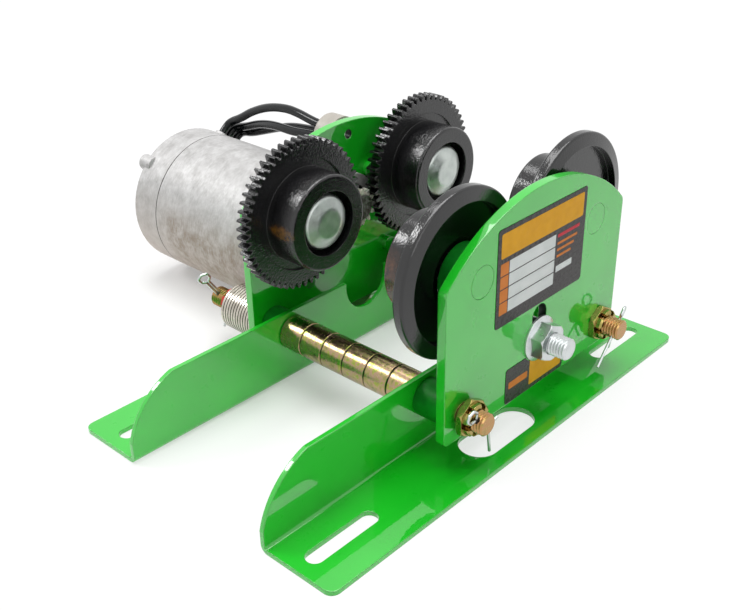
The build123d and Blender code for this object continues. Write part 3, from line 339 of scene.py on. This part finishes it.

# %% [markdown]
# The collars and the idler bosses get a shaded copy of the green coat: a deeper green that is painted
# shade, less even and much less glossy.

# %% Shaded green paint
shaded_green_coat, graph, shader, place = start_finish("shaded_green_paint")
# These darker greens are painted shade for parts that sit behind the plates and wheels.
shaded_green_tones = [(0.3, (0.002, 0.170, 0.012)), (0.7, (0.004, 0.290, 0.018))]
tone = colours(graph, grain(graph, place, 0.012, 4.0), shaded_green_tones)
graph.links.new(tone, shader.inputs["Base Color"])
graph.links.new(spread(graph, grain(graph, place, 0.006, 4.0), 0.30, 0.46), shader.inputs["Roughness"])
shader.inputs["Specular IOR Level"].default_value = 0.15
bumps(graph, shader, grain(graph, place, 0.0028, 2.0), 0.00003, 0.0006)
dress(shaded_green_coat, "front_collars", "rear_collars", "idler_axle_bosses")

# %% [markdown]
# The wheels are turned iron under brushed black paint. Lumps in the paint catch the light as small
# sparks along the treads, so a fine grain makes the bumps, deeper on the drive wheels, and a few knocks
# on the edges show bare iron. Two wheels have a smear on the tread: one of amber grease, one of rust.
# A smear could be a piece of its own, but it has no thickness, so it is a mask.

# %% Black wheel paint
thick_coat, thin_coat = 0.00024, 0.00011
bare_iron = (0.42, 0.42, 0.41)
amber_grease = (0.17, 0.072, 0.005)
grease_place = (-0.0563, 0.042, 0.1155)
brown_rust = (0.11, 0.042, 0.018)
rust_place = (-0.0560, -0.0445, 0.113)


def wheel_paint(name, depth, smear=None, centre=(0.0, 0.0, 0.0), stretch=(1.0, 1.0, 1.0), reach=0.005):
    """Black paint with lumps of a depth and a smear round a point, drawn out where stretch is below one."""
    material, graph, shader, place = start_finish(name)
    black_tones = [(0.3, (0.003, 0.003, 0.0034)), (0.75, (0.009, 0.009, 0.010))]
    tone = colours(graph, grain(graph, place, 0.02, 4.0), black_tones)
    if smear:
        stretched = [part * factor for part, factor in zip(centre, stretch)]
        ragged = near(graph, drawn_out(graph, place, stretch), stretched, reach, reach)
        ragged = total(graph, ragged, spread(graph, grain(graph, place, 0.003, 5.0), 0.1, 1.0), "MULTIPLY")
        tone = mixed(graph, ragged, tone, smear)
    knocks = spread(graph, grain(graph, place, 0.0035, 3.0), 0.0, 1.0, 0.70, 0.74)
    tone = mixed(graph, total(graph, knocks, edges(graph, 0.0009), "MULTIPLY"), tone, bare_iron)
    graph.links.new(tone, shader.inputs["Base Color"])
    graph.links.new(spread(graph, grain(graph, place, 0.004, 4.0), 0.07, 0.17), shader.inputs["Roughness"])
    shader.inputs["Specular IOR Level"].default_value = 0.7
    bumps(graph, shader, grain(graph, place, 0.0011, 1.0), depth, 0.0007)
    return material


dress(wheel_paint("black_wheel_paint", thick_coat), "right_drive_wheel")
dress(wheel_paint("thin_black_wheel_paint", thin_coat), "right_idler_wheel")
greasy_paint = wheel_paint("black_paint_with_grease", thick_coat, amber_grease, grease_place,
                           (1.0, 0.45, 1.0), 0.0028)
dress(greasy_paint, "left_drive_wheel")
rusty_paint = wheel_paint("black_paint_with_rust", thin_coat, brown_rust, rust_place, (1.0, 1.0, 0.6),
                          0.0065)
dress(rusty_paint, "left_idler_wheel")

# %% [markdown]
# Yellow chromate over zinc shows brown gold with drifts of pink and green, like oil on water. The film
# is the colour of a metal, so it goes to the metal's base colour, and rods, bushes and nuts from
# different baths get different drifts. Dirt gathers between the bushes, one line at each joint. One nut
# is marked with red lacquer, which is paint and not metal, so a mask lowers the metal there.

# %% Yellow zinc
film_stops = [(0.25, (0.23, 0.27, 0.07)), (0.42, (0.38, 0.35, 0.10)), (0.55, (0.41, 0.31, 0.11)),
              (0.68, (0.36, 0.35, 0.09)), (0.8, (0.26, 0.31, 0.10))]
bush_stops = [(0.28, (0.20, 0.17, 0.10)), (0.42, (0.36, 0.32, 0.12)), (0.52, (0.44, 0.29, 0.21)),
              (0.62, (0.34, 0.37, 0.07)), (0.75, (0.25, 0.31, 0.12))]
rod_stops = [(0.25, (0.33, 0.23, 0.08)), (0.42, (0.45, 0.29, 0.11)), (0.55, (0.48, 0.26, 0.12)),
             (0.68, (0.41, 0.30, 0.10)), (0.8, (0.30, 0.25, 0.09))]
lacquer_red = (0.58, 0.022, 0.012)
joint_dirt = (0.05, 0.04, 0.025)


def chromate(name, stops, cloud, lacquer=None, joint=None):
    """Yellow zinc; lacquer is a box painted red, joint the (start, pitch) of dirty lines across Y."""
    material, graph, shader, place = start_finish(name)
    tone = colours(graph, grain(graph, place, cloud, 3.0), stops)
    shader.inputs["Metallic"].default_value = 1.0
    if joint:
        tone = mixed(graph, joints(graph, place, *joint, 0.0006), tone, joint_dirt)
    if lacquer:
        patch = inside(graph, place, *lacquer, 0.0008)
        worn = spread(graph, grain(graph, place, 0.004, 3.0), 0.0, 1.0, 0.28, 0.34)
        patch = total(graph, patch, worn, "MULTIPLY")
        tone = mixed(graph, patch, tone, lacquer_red)
        graph.links.new(total(graph, 1.0, patch, "SUBTRACT"), shader.inputs["Metallic"])
    graph.links.new(tone, shader.inputs["Base Color"])
    graph.links.new(spread(graph, grain(graph, place, 0.002, 4.0), 0.14, 0.30), shader.inputs["Roughness"])
    bumps(graph, shader, grain(graph, place, 0.0016, 3.0), 0.00001, 0.0004)
    return material


dress(chromate("yellow_zinc", film_stops, 0.007), "front_castle_nuts")
dress(chromate("yellow_zinc_rods", rod_stops, 0.005), "left_tie_rod", "right_tie_rod")
bush_low, bush_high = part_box("left_spacer_bushes")
bushes = 6
bush_joint = (bush_low[1], (bush_high[1] - bush_low[1]) / bushes)
dress(chromate("yellow_zinc_bushes", bush_stops, 0.005, joint=bush_joint), "left_spacer_bushes",
      "right_spacer_bushes")
nut_low, nut_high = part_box("rear_castle_nuts")
lacquer_width = 0.03
lacquer_length = 0.0085
lacquered = (nut_low, (nut_low[0] + lacquer_width, nut_low[1] + lacquer_length, nut_high[2]))
dress(chromate("yellow_zinc_lacquered", film_stops, 0.007, lacquered), "rear_castle_nuts")

# %% [markdown]
# Bright zinc is a cool silver with a faint blue cast and soft scuffs. It mirrors the green plates, but
# not sharply, and a very fine grain breaks the mirror further.

# %% Bright zinc
def zinc(name, dark, light, smooth, rough, joint=None):
    """Bright zinc whose tone and gloss drift; joint is the (start, pitch) of dirty lines across Y."""
    material, graph, shader, place = start_finish(name)
    tone = colours(graph, grain(graph, place, 0.006, 3.0), [(0.3, dark), (0.7, light)])
    if joint:
        tone = mixed(graph, joints(graph, place, *joint, 0.0005), tone, joint_dirt)
    graph.links.new(tone, shader.inputs["Base Color"])
    shader.inputs["Metallic"].default_value = 1.0
    scuffs = grain(graph, place, 0.003, 4.0)
    graph.links.new(spread(graph, scuffs, smooth, rough), shader.inputs["Roughness"])
    bumps(graph, shader, grain(graph, place, 0.0025, 2.0), 0.000006, 0.0005)
    return material


bright_zinc = zinc("bright_zinc", (0.56, 0.59, 0.59), (0.66, 0.69, 0.69), 0.26, 0.34)
dress(bright_zinc, "centre_bolt", "centre_flange_nut", "drive_axle_nuts", "drive_axle_bosses", "split_pins",
      "gearbox_cover_screws", "end_cap_screws", "capacitor_nut")
dull_zinc = zinc("dull_zinc", (0.45, 0.49, 0.47), (0.59, 0.63, 0.60), 0.34, 0.46)
dress(dull_zinc, "left_drive_axle", "right_drive_axle")
washer_low, washer_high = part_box("left_adjusting_washers")
washers = 12
washer_joint = (washer_low[1], (washer_high[1] - washer_low[1]) / washers)
warm_zinc = zinc("warm_zinc", (0.44, 0.41, 0.35), (0.62, 0.58, 0.51), 0.16, 0.32, washer_joint)
dress(warm_zinc, "left_adjusting_washers", "right_adjusting_washers")

# %% [markdown]
# Each idler axle goes through the front plate, and its end is green like the plate. Some of the screws in
# the rear plate are green too, and the rest is zinc. One finish holds both, and a mask along one axis
# changes from zinc to paint.

# %% Painted ends
def part_painted(name, axis, bare, painted_at):
    """Zinc up to the coordinate bare along an axis, green paint with its clear coat from painted_at on."""
    material, graph, shader, place = start_finish(name)
    painted = spread(graph, along(graph, place, axis), 0.0, 1.0, bare, painted_at)
    silver_tones = [(0.3, (0.52, 0.55, 0.55)), (0.7, (0.68, 0.71, 0.71))]
    silver = colours(graph, grain(graph, place, 0.006, 3.0), silver_tones)
    graph.links.new(mixed(graph, painted, silver, green_tone(graph, place)), shader.inputs["Base Color"])
    graph.links.new(total(graph, 1.0, painted, "SUBTRACT"), shader.inputs["Metallic"])
    graph.links.new(spread(graph, grain(graph, place, 0.012, 5.0), 0.16, 0.28), shader.inputs["Roughness"])
    peel = grain(graph, place, peel_grain, 2.0)
    clear_coat(graph, shader, bumps(graph, shader, peel, peel_depth, 0.0006))
    graph.links.new(painted, shader.inputs["Coat Weight"])
    return material


plate_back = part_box("front_side_plate")[1][1]
painted_axle = part_painted("axle_with_painted_end", 1, plate_back, plate_back - 0.0002)
dress(painted_axle, "left_idler_axle", "right_idler_axle")
dress(part_painted("screws_partly_painted", 0, -0.001, 0.001), "motor_mounting_screws")

# %% [markdown]
# The motor is cast aluminium, matt and grainy, with faint darker clouds from the mould and fine streaks
# round the barrel. It is warmer underneath, with a soft brown smear on one side, and the seam between
# the barrel and its cap holds a line of dirt.

# %% Cast aluminium
warm_grey = (0.54, 0.45, 0.385)
smear_brown = (0.24, 0.165, 0.10)
smear_low = (-0.05, 0.120, 0.032)
smear_high = (0.006, 0.205, 0.060)
seam_dirt = (0.04, 0.035, 0.03)
seam_half = 0.0003
seam_share = 0.85
cast_aluminium, graph, shader, place = start_finish("cast_aluminium")
streaks = grain(graph, drawn_out(graph, place, (0.3, 1.0, 0.3)), 0.0012, 3.0)
clouds = total(graph, total(graph, grain(graph, place, 0.010, 5.0, 0.65), 0.7, "MULTIPLY"),
               total(graph, streaks, 0.3, "MULTIPLY"))
tone = colours(graph, clouds, [(0.34, (0.37, 0.362, 0.356)), (0.62, (0.58, 0.574, 0.572))])
underside = spread(graph, along(graph, place, 2), 0.75, 0.0, 0.02, 0.085)
tone = mixed(graph, underside, tone, warm_grey)
held = inside(graph, place, smear_low, smear_high, 0.016)
smear = total(graph, held, spread(graph, clouds, 0.65, 0.1, 0.38, 0.60), "MULTIPLY")
tone = mixed(graph, smear, tone, smear_brown)
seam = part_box("motor_housing")[1][1]
seam_line = between(graph, along(graph, place, 1), seam - seam_half, seam + seam_half, 0.0002)
tone = mixed(graph, total(graph, seam_line, seam_share, "MULTIPLY"), tone, seam_dirt)
graph.links.new(tone, shader.inputs["Base Color"])
shader.inputs["Metallic"].default_value = 0.3
graph.links.new(spread(graph, grain(graph, place, 0.003, 4.0), 0.42, 0.6), shader.inputs["Roughness"])
bumps(graph, shader, total(graph, grain(graph, place, 0.0022, 4.0), streaks), 0.00012, 0.0008)
dress(cast_aluminium, "gearbox_cover", "motor_housing", "motor_end_cap")

# %% [markdown]
# Inside the wheels and the gearbox sit ground steel, very dark bearing rings, cut gears with a film of
# grease, stacked electrical sheet and varnished copper. They show only through gaps, yet each has its
# own grain.

# %% Inner metals
def metal(name, dark, light, cloud, smooth, rough, depth):
    """Metal whose tone drifts between two colours and whose roughness follows a fine grain."""
    material, graph, shader, place = start_finish(name)
    tone = colours(graph, grain(graph, place, cloud, 4.0), [(0.3, dark), (0.7, light)])
    graph.links.new(tone, shader.inputs["Base Color"])
    shader.inputs["Metallic"].default_value = 1.0
    scuffs = grain(graph, place, cloud / 4, 3.0)
    graph.links.new(spread(graph, scuffs, smooth, rough), shader.inputs["Roughness"])
    bumps(graph, shader, grain(graph, place, cloud / 6, 2.0), depth)
    return material


ground_steel = metal("ground_steel", (0.45, 0.46, 0.47), (0.62, 0.63, 0.64), 0.006, 0.18, 0.3, 0.00001)
dress(ground_steel, "wheel_bearing_balls", "shaft_bearing_inner_rings", "rotor_bearing_inner_rings",
      "motor_bearing_outer_rings", "motor_bearing_balls")
very_dark_steel = metal("very_dark_steel", (0.035, 0.034, 0.033), (0.075, 0.072, 0.068), 0.006, 0.25, 0.4, 0.00001)
dress(very_dark_steel, "wheel_bearing_inner_rings", "left_idler_outer_rings", "left_drive_outer_rings",
      "right_idler_outer_rings", "right_drive_outer_rings")
core_sheet = metal("electrical_sheet", (0.20, 0.21, 0.22), (0.34, 0.35, 0.37), 0.008, 0.35, 0.5, 0.00003)
dress(core_sheet, "stator_core", "rotor_core")
copper = metal("varnished_copper", (0.42, 0.17, 0.07), (0.62, 0.28, 0.12), 0.003, 0.3, 0.5, 0.0002)
dress(copper, "stator_windings")

# %% [markdown]
# The gears are cut steel under pale grease. Grease is not a metal, so a noise decides where it lies
# thick: there it is cream coloured, wet and lumpy, and elsewhere the steel shows. Between the pinion's
# teeth a painted shade, near black, darkens the gear, from the distance to the pinion's axis.

# %% Greased gears
fresh_grease = (0.62, 0.59, 0.50)
# The near black below is painted shade between the pinion's teeth.
root_shade_colour = (0.045, 0.042, 0.035)
greased_steel, graph, shader, place = start_finish("greased_gear_steel")
lumps = grain(graph, place, 0.0035, 4.0)
thick = spread(graph, lumps, 0.0, 1.0, 0.42, 0.50)
steel_tones = [(0.3, (0.30, 0.29, 0.27)), (0.7, (0.50, 0.48, 0.45))]
steel_tone = colours(graph, grain(graph, place, 0.004, 4.0), steel_tones)
pinion_low, pinion_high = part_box("pinion_shaft")
pinion_axis = ((pinion_low[0] + pinion_high[0]) / 2, 0.0, (pinion_low[2] + pinion_high[2]) / 2)
root_radius = 0.0084
# Painted shade: within root_radius of the pinion's axis the colour goes near black.
root_shade = near(graph, drawn_out(graph, place, (1.0, 0.0, 1.0)), pinion_axis, root_radius, 0.0016)
greased = mixed(graph, thick, steel_tone, fresh_grease)
graph.links.new(mixed(graph, root_shade, greased, root_shade_colour), shader.inputs["Base Color"])
graph.links.new(spread(graph, thick, 1.0, 0.0, 0.0, 1.0), shader.inputs["Metallic"])
graph.links.new(spread(graph, thick, 0.32, 0.16, 0.0, 1.0), shader.inputs["Roughness"])
bumps(graph, shader, lumps, 0.0004)
dress(greased_steel, "pinion_shaft", "reduction_gear", "reduction_gear_key", "rotor_shaft")

# %% [markdown]
# The capacitor has a moulded beige case. Rubber is used for the grommet and the leads.

# %% Plastic and rubber
def moulded(name, dark, light, cloud, smooth, rough, depth):
    """Plastic or rubber with a faint drift of tone and a fine moulded grain."""
    material, graph, shader, place = start_finish(name)
    tone = colours(graph, grain(graph, place, cloud, 4.0), [(0.3, dark), (0.7, light)])
    graph.links.new(tone, shader.inputs["Base Color"])
    scuffs = grain(graph, place, cloud / 3, 3.0)
    graph.links.new(spread(graph, scuffs, smooth, rough), shader.inputs["Roughness"])
    bumps(graph, shader, grain(graph, place, cloud / 8, 3.0), depth)
    return material


beige_case = moulded("beige_case", (0.40, 0.37, 0.33), (0.50, 0.47, 0.42), 0.012, 0.35, 0.5, 0.00003)
dress(beige_case, "capacitor")
black_rubber = moulded("grommet_rubber", (0.008, 0.008, 0.008), (0.016, 0.016, 0.017), 0.006, 0.3, 0.5,
                       0.00002)
dress(black_rubber, "lead_grommet")

# %% [markdown]
# Three black leads arch from the motor's rear cap to the capacitor. A lead is a smooth NURBS curve
# through the air with a round bevel, and its control points are the route of the engineering model.

# %% Leads
lead_thickness = 0.0065
lead_rubber = moulded("black_lead_sleeve", (0.004, 0.005, 0.006), (0.008, 0.010, 0.011), 0.01, 0.10, 0.20,
                      0.00002)
lead_rubber.node_tree.nodes["Principled BSDF"].inputs["Specular IOR Level"].default_value = 0.3
lead_routes = {
    "upper": [(0.064745, 0.244, 0.099987), (0.070499, 0.244, 0.105544), (0.0726, 0.2395, 0.1095),
              (0.0725, 0.228, 0.1145), (0.073, 0.2152, 0.1223), (0.0715, 0.1942, 0.1307),
              (0.0695, 0.1716, 0.1351), (0.0678, 0.1555, 0.1348), (0.0668, 0.1445, 0.1333),
              (0.066239, 0.1333, 0.132063), (0.066239, 0.1253, 0.132063)],
    "left": [(0.069885, 0.244, 0.094664), (0.07564, 0.244, 0.100221), (0.078, 0.239, 0.1033),
             (0.076, 0.2268, 0.1067), (0.0735, 0.2097, 0.1133), (0.0685, 0.1897, 0.1187),
             (0.065, 0.1734, 0.121), (0.0628, 0.1585, 0.1218), (0.0621, 0.146, 0.1234),
             (0.061909, 0.1333, 0.124563), (0.061909, 0.1253, 0.124563)],
    "right": [(0.075026, 0.244, 0.089341), (0.08078, 0.244, 0.094898), (0.0836, 0.2392, 0.0976),
              (0.0812, 0.227, 0.1002), (0.0795, 0.2076, 0.1072), (0.0765, 0.1875, 0.1146),
              (0.0735, 0.1694, 0.1202), (0.0714, 0.149, 0.1232), (0.070569, 0.1333, 0.124563),
              (0.070569, 0.1253, 0.124563)],
}


def lead(node, route):
    """Round rubber lead along a NURBS line with the route's points as its controls."""
    name = f"{node}_sleeve"
    data = bpy.data.curves.new(name, "CURVE")
    data.dimensions = "3D"
    data.bevel_depth = lead_thickness / 2
    data.bevel_resolution = 6
    data.resolution_u = 12
    data.use_fill_caps = True
    line = data.splines.new("NURBS")
    line.points.add(len(route) - 1)
    for point, place in zip(line.points, route):
        point.co = (*place, 1.0)
    line.order_u = 3
    line.use_endpoint_u = True
    data.materials.append(lead_rubber)
    piece = bpy.data.objects.new(name, data)
    bpy.context.scene.collection.objects.link(piece)
    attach(piece, "frame")
    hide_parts(node)
    return piece


for name, length in (("upper", 0.1337), ("left", 0.1316), ("right", 0.1322)):
    lead(f"{name}_lead", lead_routes[name])
print("leads", list(lead_routes))

# %% [markdown]
# Two labels of dark film are stuck to the front plate, with blank fields printed on them as ink pads.
# The large label has a bar, a column of squares, white rows and, at its right, a red strip, three lines
# and a small box, and the lower label has two fields. Print could be a pattern in the shader, but ink
# and film are layers with edges that catch light, so each pad is a thin closed shell.
# Its outline is a rounded rectangle: the four corners of a smaller rectangle, each with a quarter
# circle round it. Four rings of that outline, back middle, back rim, front rim and front middle,
# are the rows of a grid, and the angle round the outline is the other parameter.

# %% Ink pads
steps = 6
rim_inset = 0.00005
quarter = np.linspace(0.0, np.pi / 2, steps)
angles = (quarter[None, :] + np.arange(4)[:, None] * np.pi / 2).ravel()
corner_x = np.repeat([1.0, -1.0, -1.0, 1.0], steps)
corner_z = np.repeat([1.0, 1.0, -1.0, -1.0], steps)


def pad_points(low_x, high_x, low_z, high_z, radius, back, front):
    """Rings of a pad: outline = middle + corner * (half size - radius) + radius * (cos, sin)."""
    core = np.array([high_x - low_x, high_z - low_z]) / 2 - radius
    middle_x, middle_z = (low_x + high_x) / 2, (low_z + high_z) / 2
    rims = []
    for inset in (0.0, rim_inset):
        x = middle_x + corner_x * core[0] + (radius - inset) * np.cos(angles)
        z = middle_z + corner_z * core[1] + (radius - inset) * np.sin(angles)
        rims.append((x, z))
    depths = (back, back, front, front)
    shrink = (0.0, 1.0, 1.0, 0.0)
    rings = []
    for (x, z), y, share in zip((rims[0], rims[0], rims[1], rims[1]), depths, shrink):
        rings.append(np.stack([middle_x + (x - middle_x) * share, np.full_like(x, y),
                               middle_z + (z - middle_z) * share], axis=1))
    return np.array(rings)


def pad_faces(count):
    """Triangle fans at both middles and one band of quads round the rim, of a grid with 4 rings."""
    here = np.arange(count)
    beside = (here + 1) % count
    back, rim, front, top = 0, 1, 1 + count, 1 + 2 * count
    fan_back = np.stack([np.full(count, back), rim + here, rim + beside], axis=1)
    band = np.stack([rim + here, front + here, front + beside, rim + beside], axis=1)
    fan_front = np.stack([front + here, np.full(count, top), front + beside], axis=1)
    return fan_back.tolist() + band.tolist() + fan_front.tolist()


def ink_pads(name, pads, inks, back, front):
    """One mesh of pads; a pad is (low x, high x, low z, high z, corner radius, ink number)."""
    points, faces, numbers = [], [], []
    for low_x, high_x, low_z, high_z, radius, ink in pads:
        rings = pad_points(low_x, high_x, low_z, high_z, radius, back, front)
        cloud = np.concatenate([rings[0][:1], rings[1], rings[2], rings[3][:1]])
        start = sum(len(part) for part in points)
        made = [[start + corner for corner in face] for face in pad_faces(len(angles))]
        points.append(cloud)
        faces += made
        numbers += [ink] * len(made)
    mesh = bpy.data.meshes.new(name)
    mesh.from_pydata(np.concatenate(points).tolist(), [], faces)
    mesh.polygons.foreach_set("material_index", np.array(numbers, np.int32))
    for ink in inks:
        mesh.materials.append(ink)
    piece = bpy.data.objects.new(name, mesh)
    bpy.context.scene.collection.objects.link(piece)
    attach(piece, "frame")
    print(name, "pads", len(pads), "faces", len(faces))
    return piece


# %% [markdown]
# The film is charcoal and slightly glossy. The inks are flat colours on it, so each has only a faint
# drift of tone and a fine tooth.

# %% Label film and inks
film = moulded("charcoal_label_film", (0.036, 0.033, 0.032), (0.043, 0.040, 0.039), 0.01, 0.22, 0.34,
               0.00001)
film.node_tree.nodes["Principled BSDF"].inputs["Specular IOR Level"].default_value = 0.25
dress(film, "rating_label", "lower_label")
amber_ink = moulded("amber_ink", (0.74, 0.35, 0.010), (0.82, 0.41, 0.016), 0.008, 0.4, 0.55, 0.000005)
orange_ink = moulded("orange_ink", (0.66, 0.20, 0.035), (0.74, 0.24, 0.045), 0.006, 0.4, 0.55, 0.000005)
white_ink = moulded("white_ink", (0.70, 0.74, 0.73), (0.80, 0.83, 0.82), 0.012, 0.4, 0.55, 0.000005)
red_ink = moulded("red_ink", (0.58, 0.035, 0.055), (0.66, 0.05, 0.07), 0.005, 0.4, 0.55, 0.000005)
inks = [amber_ink, orange_ink, white_ink, red_ink]
for ink in inks:
    ink.node_tree.nodes["Principled BSDF"].inputs["Specular IOR Level"].default_value = 0.15
amber, orange, white, red = range(4)

# %% [markdown]
# The fields are laid out from the label's own corners, so they stay on it if the label moves. Rows and
# squares repeat, so they come from a loop over their number.

# %% Printed fields
ink_sink = 0.00002
ink_rise = 0.00005
low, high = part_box("rating_label")
left, right, top = low[0], high[0], high[2]
print_back, print_front = low[1] + ink_sink, low[1] - ink_rise
margin = 0.003
bar_drop = 0.0185
rows_drop = 0.0215
row_pitch = 0.0084
row_height = 0.0078
row_start, row_end = 0.0114, 0.031
square_end = 0.0108
side_column = 0.029
strip_top, strip_bottom = 0.0222, 0.0245
lines_drop = 0.0275
line_pitch = 0.0042
line_height = 0.0018
line_step = 0.003
box_top, box_bottom = 0.0432, 0.0475
fields = [(left + margin, right - margin, top - bar_drop, top - margin, 0.0012, amber)]
for row in range(4):
    row_top = top - rows_drop - row * row_pitch
    fields.append((left + margin, left + square_end, row_top - row_height, row_top, 0.0006, orange))
    fields.append((left + row_start, right - row_end, row_top - row_height, row_top, 0.0003, white))
fields.append((right - side_column, right - 0.006, top - strip_bottom, top - strip_top, 0.0004, red))
for line in range(3):
    line_top = top - lines_drop - line * line_pitch
    line_end = right - 0.008 - line * line_step
    fields.append((right - side_column, line_end, line_top - line_height, line_top, 0.0004, orange))
fields.append((right - side_column, right - 0.012, top - box_bottom, top - box_top, 0.0004, white))
ink_pads("rating_label_print", fields, inks, print_back, print_front)

low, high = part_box("lower_label")
print_back, print_front = low[1] + ink_sink, low[1] - ink_rise
split_share = 0.40
field_gap = 0.002
small_inset = 0.0098
split = low[0] + split_share * (high[0] - low[0])
lower_fields = [(split, high[0] - field_gap, low[2] + margin, high[2] - margin, 0.001, amber),
                (low[0] + margin, split - field_gap, low[2] + small_inset, high[2] - small_inset, 0.001,
                 orange)]
ink_pads("lower_label_print", lower_fields, inks, print_back, print_front)

# %% [markdown]
# The floor is one large white sheet. Far from the trolley it glows for the camera and in mirrors, so it
# looks like the endless white of a studio, and round the trolley real shading keeps the soft shadow.

# %% Floor
floor_mesh = bpy.data.meshes.new("floor")
reach = 6.0
floor_mesh.from_pydata([(-reach, -reach, 0), (reach, -reach, 0), (reach, reach, 0), (-reach, reach, 0)], [],
                       [(0, 1, 2, 3)])
floor = bpy.data.objects.new("floor", floor_mesh)
bpy.context.scene.collection.objects.link(floor)
floor_white = bpy.data.materials.new("floor_white")
floor_white.use_nodes = True
graph = floor_white.node_tree
shader = graph.nodes["Principled BSDF"]
shader.inputs["Base Color"].default_value = (0.95, 0.95, 0.95, 1.0)
shader.inputs["Roughness"].default_value = 0.7
glow_strength = 1.04
glow = add(graph, "ShaderNodeEmission", [("Color", (1.0, 1.0, 1.0, 1.0)), ("Strength", glow_strength)])
path = add(graph, "ShaderNodeLightPath")
spot = graph.nodes.new("ShaderNodeTexCoord").outputs["Object"]
shadow_middle = (0.03, 0.12, 0.0)
shadow_reach, shadow_fade = 0.13, 0.16
beside = near(graph, spot, shadow_middle, shadow_reach, shadow_fade)
shown = spread(graph, beside, 1.0, 0.3, 0.0, 1.0)
mirrored = spread(graph, beside, 1.0, 0.25, 0.0, 1.0)
seen_share = total(graph, path.outputs["Is Camera Ray"], shown, "MULTIPLY")
mirror_share = total(graph, path.outputs["Is Glossy Ray"], mirrored, "MULTIPLY")
most = total(graph, seen_share, mirror_share, "MAXIMUM")
joined = add(graph, "ShaderNodeMixShader", [(0, most), (1, shader.outputs[0]), (2, glow.outputs[0])])
graph.links.new(joined.outputs[0], graph.nodes["Material Output"].inputs["Surface"])
floor_mesh.materials.append(floor_white)
print("floor", reach * 2, "m wide")
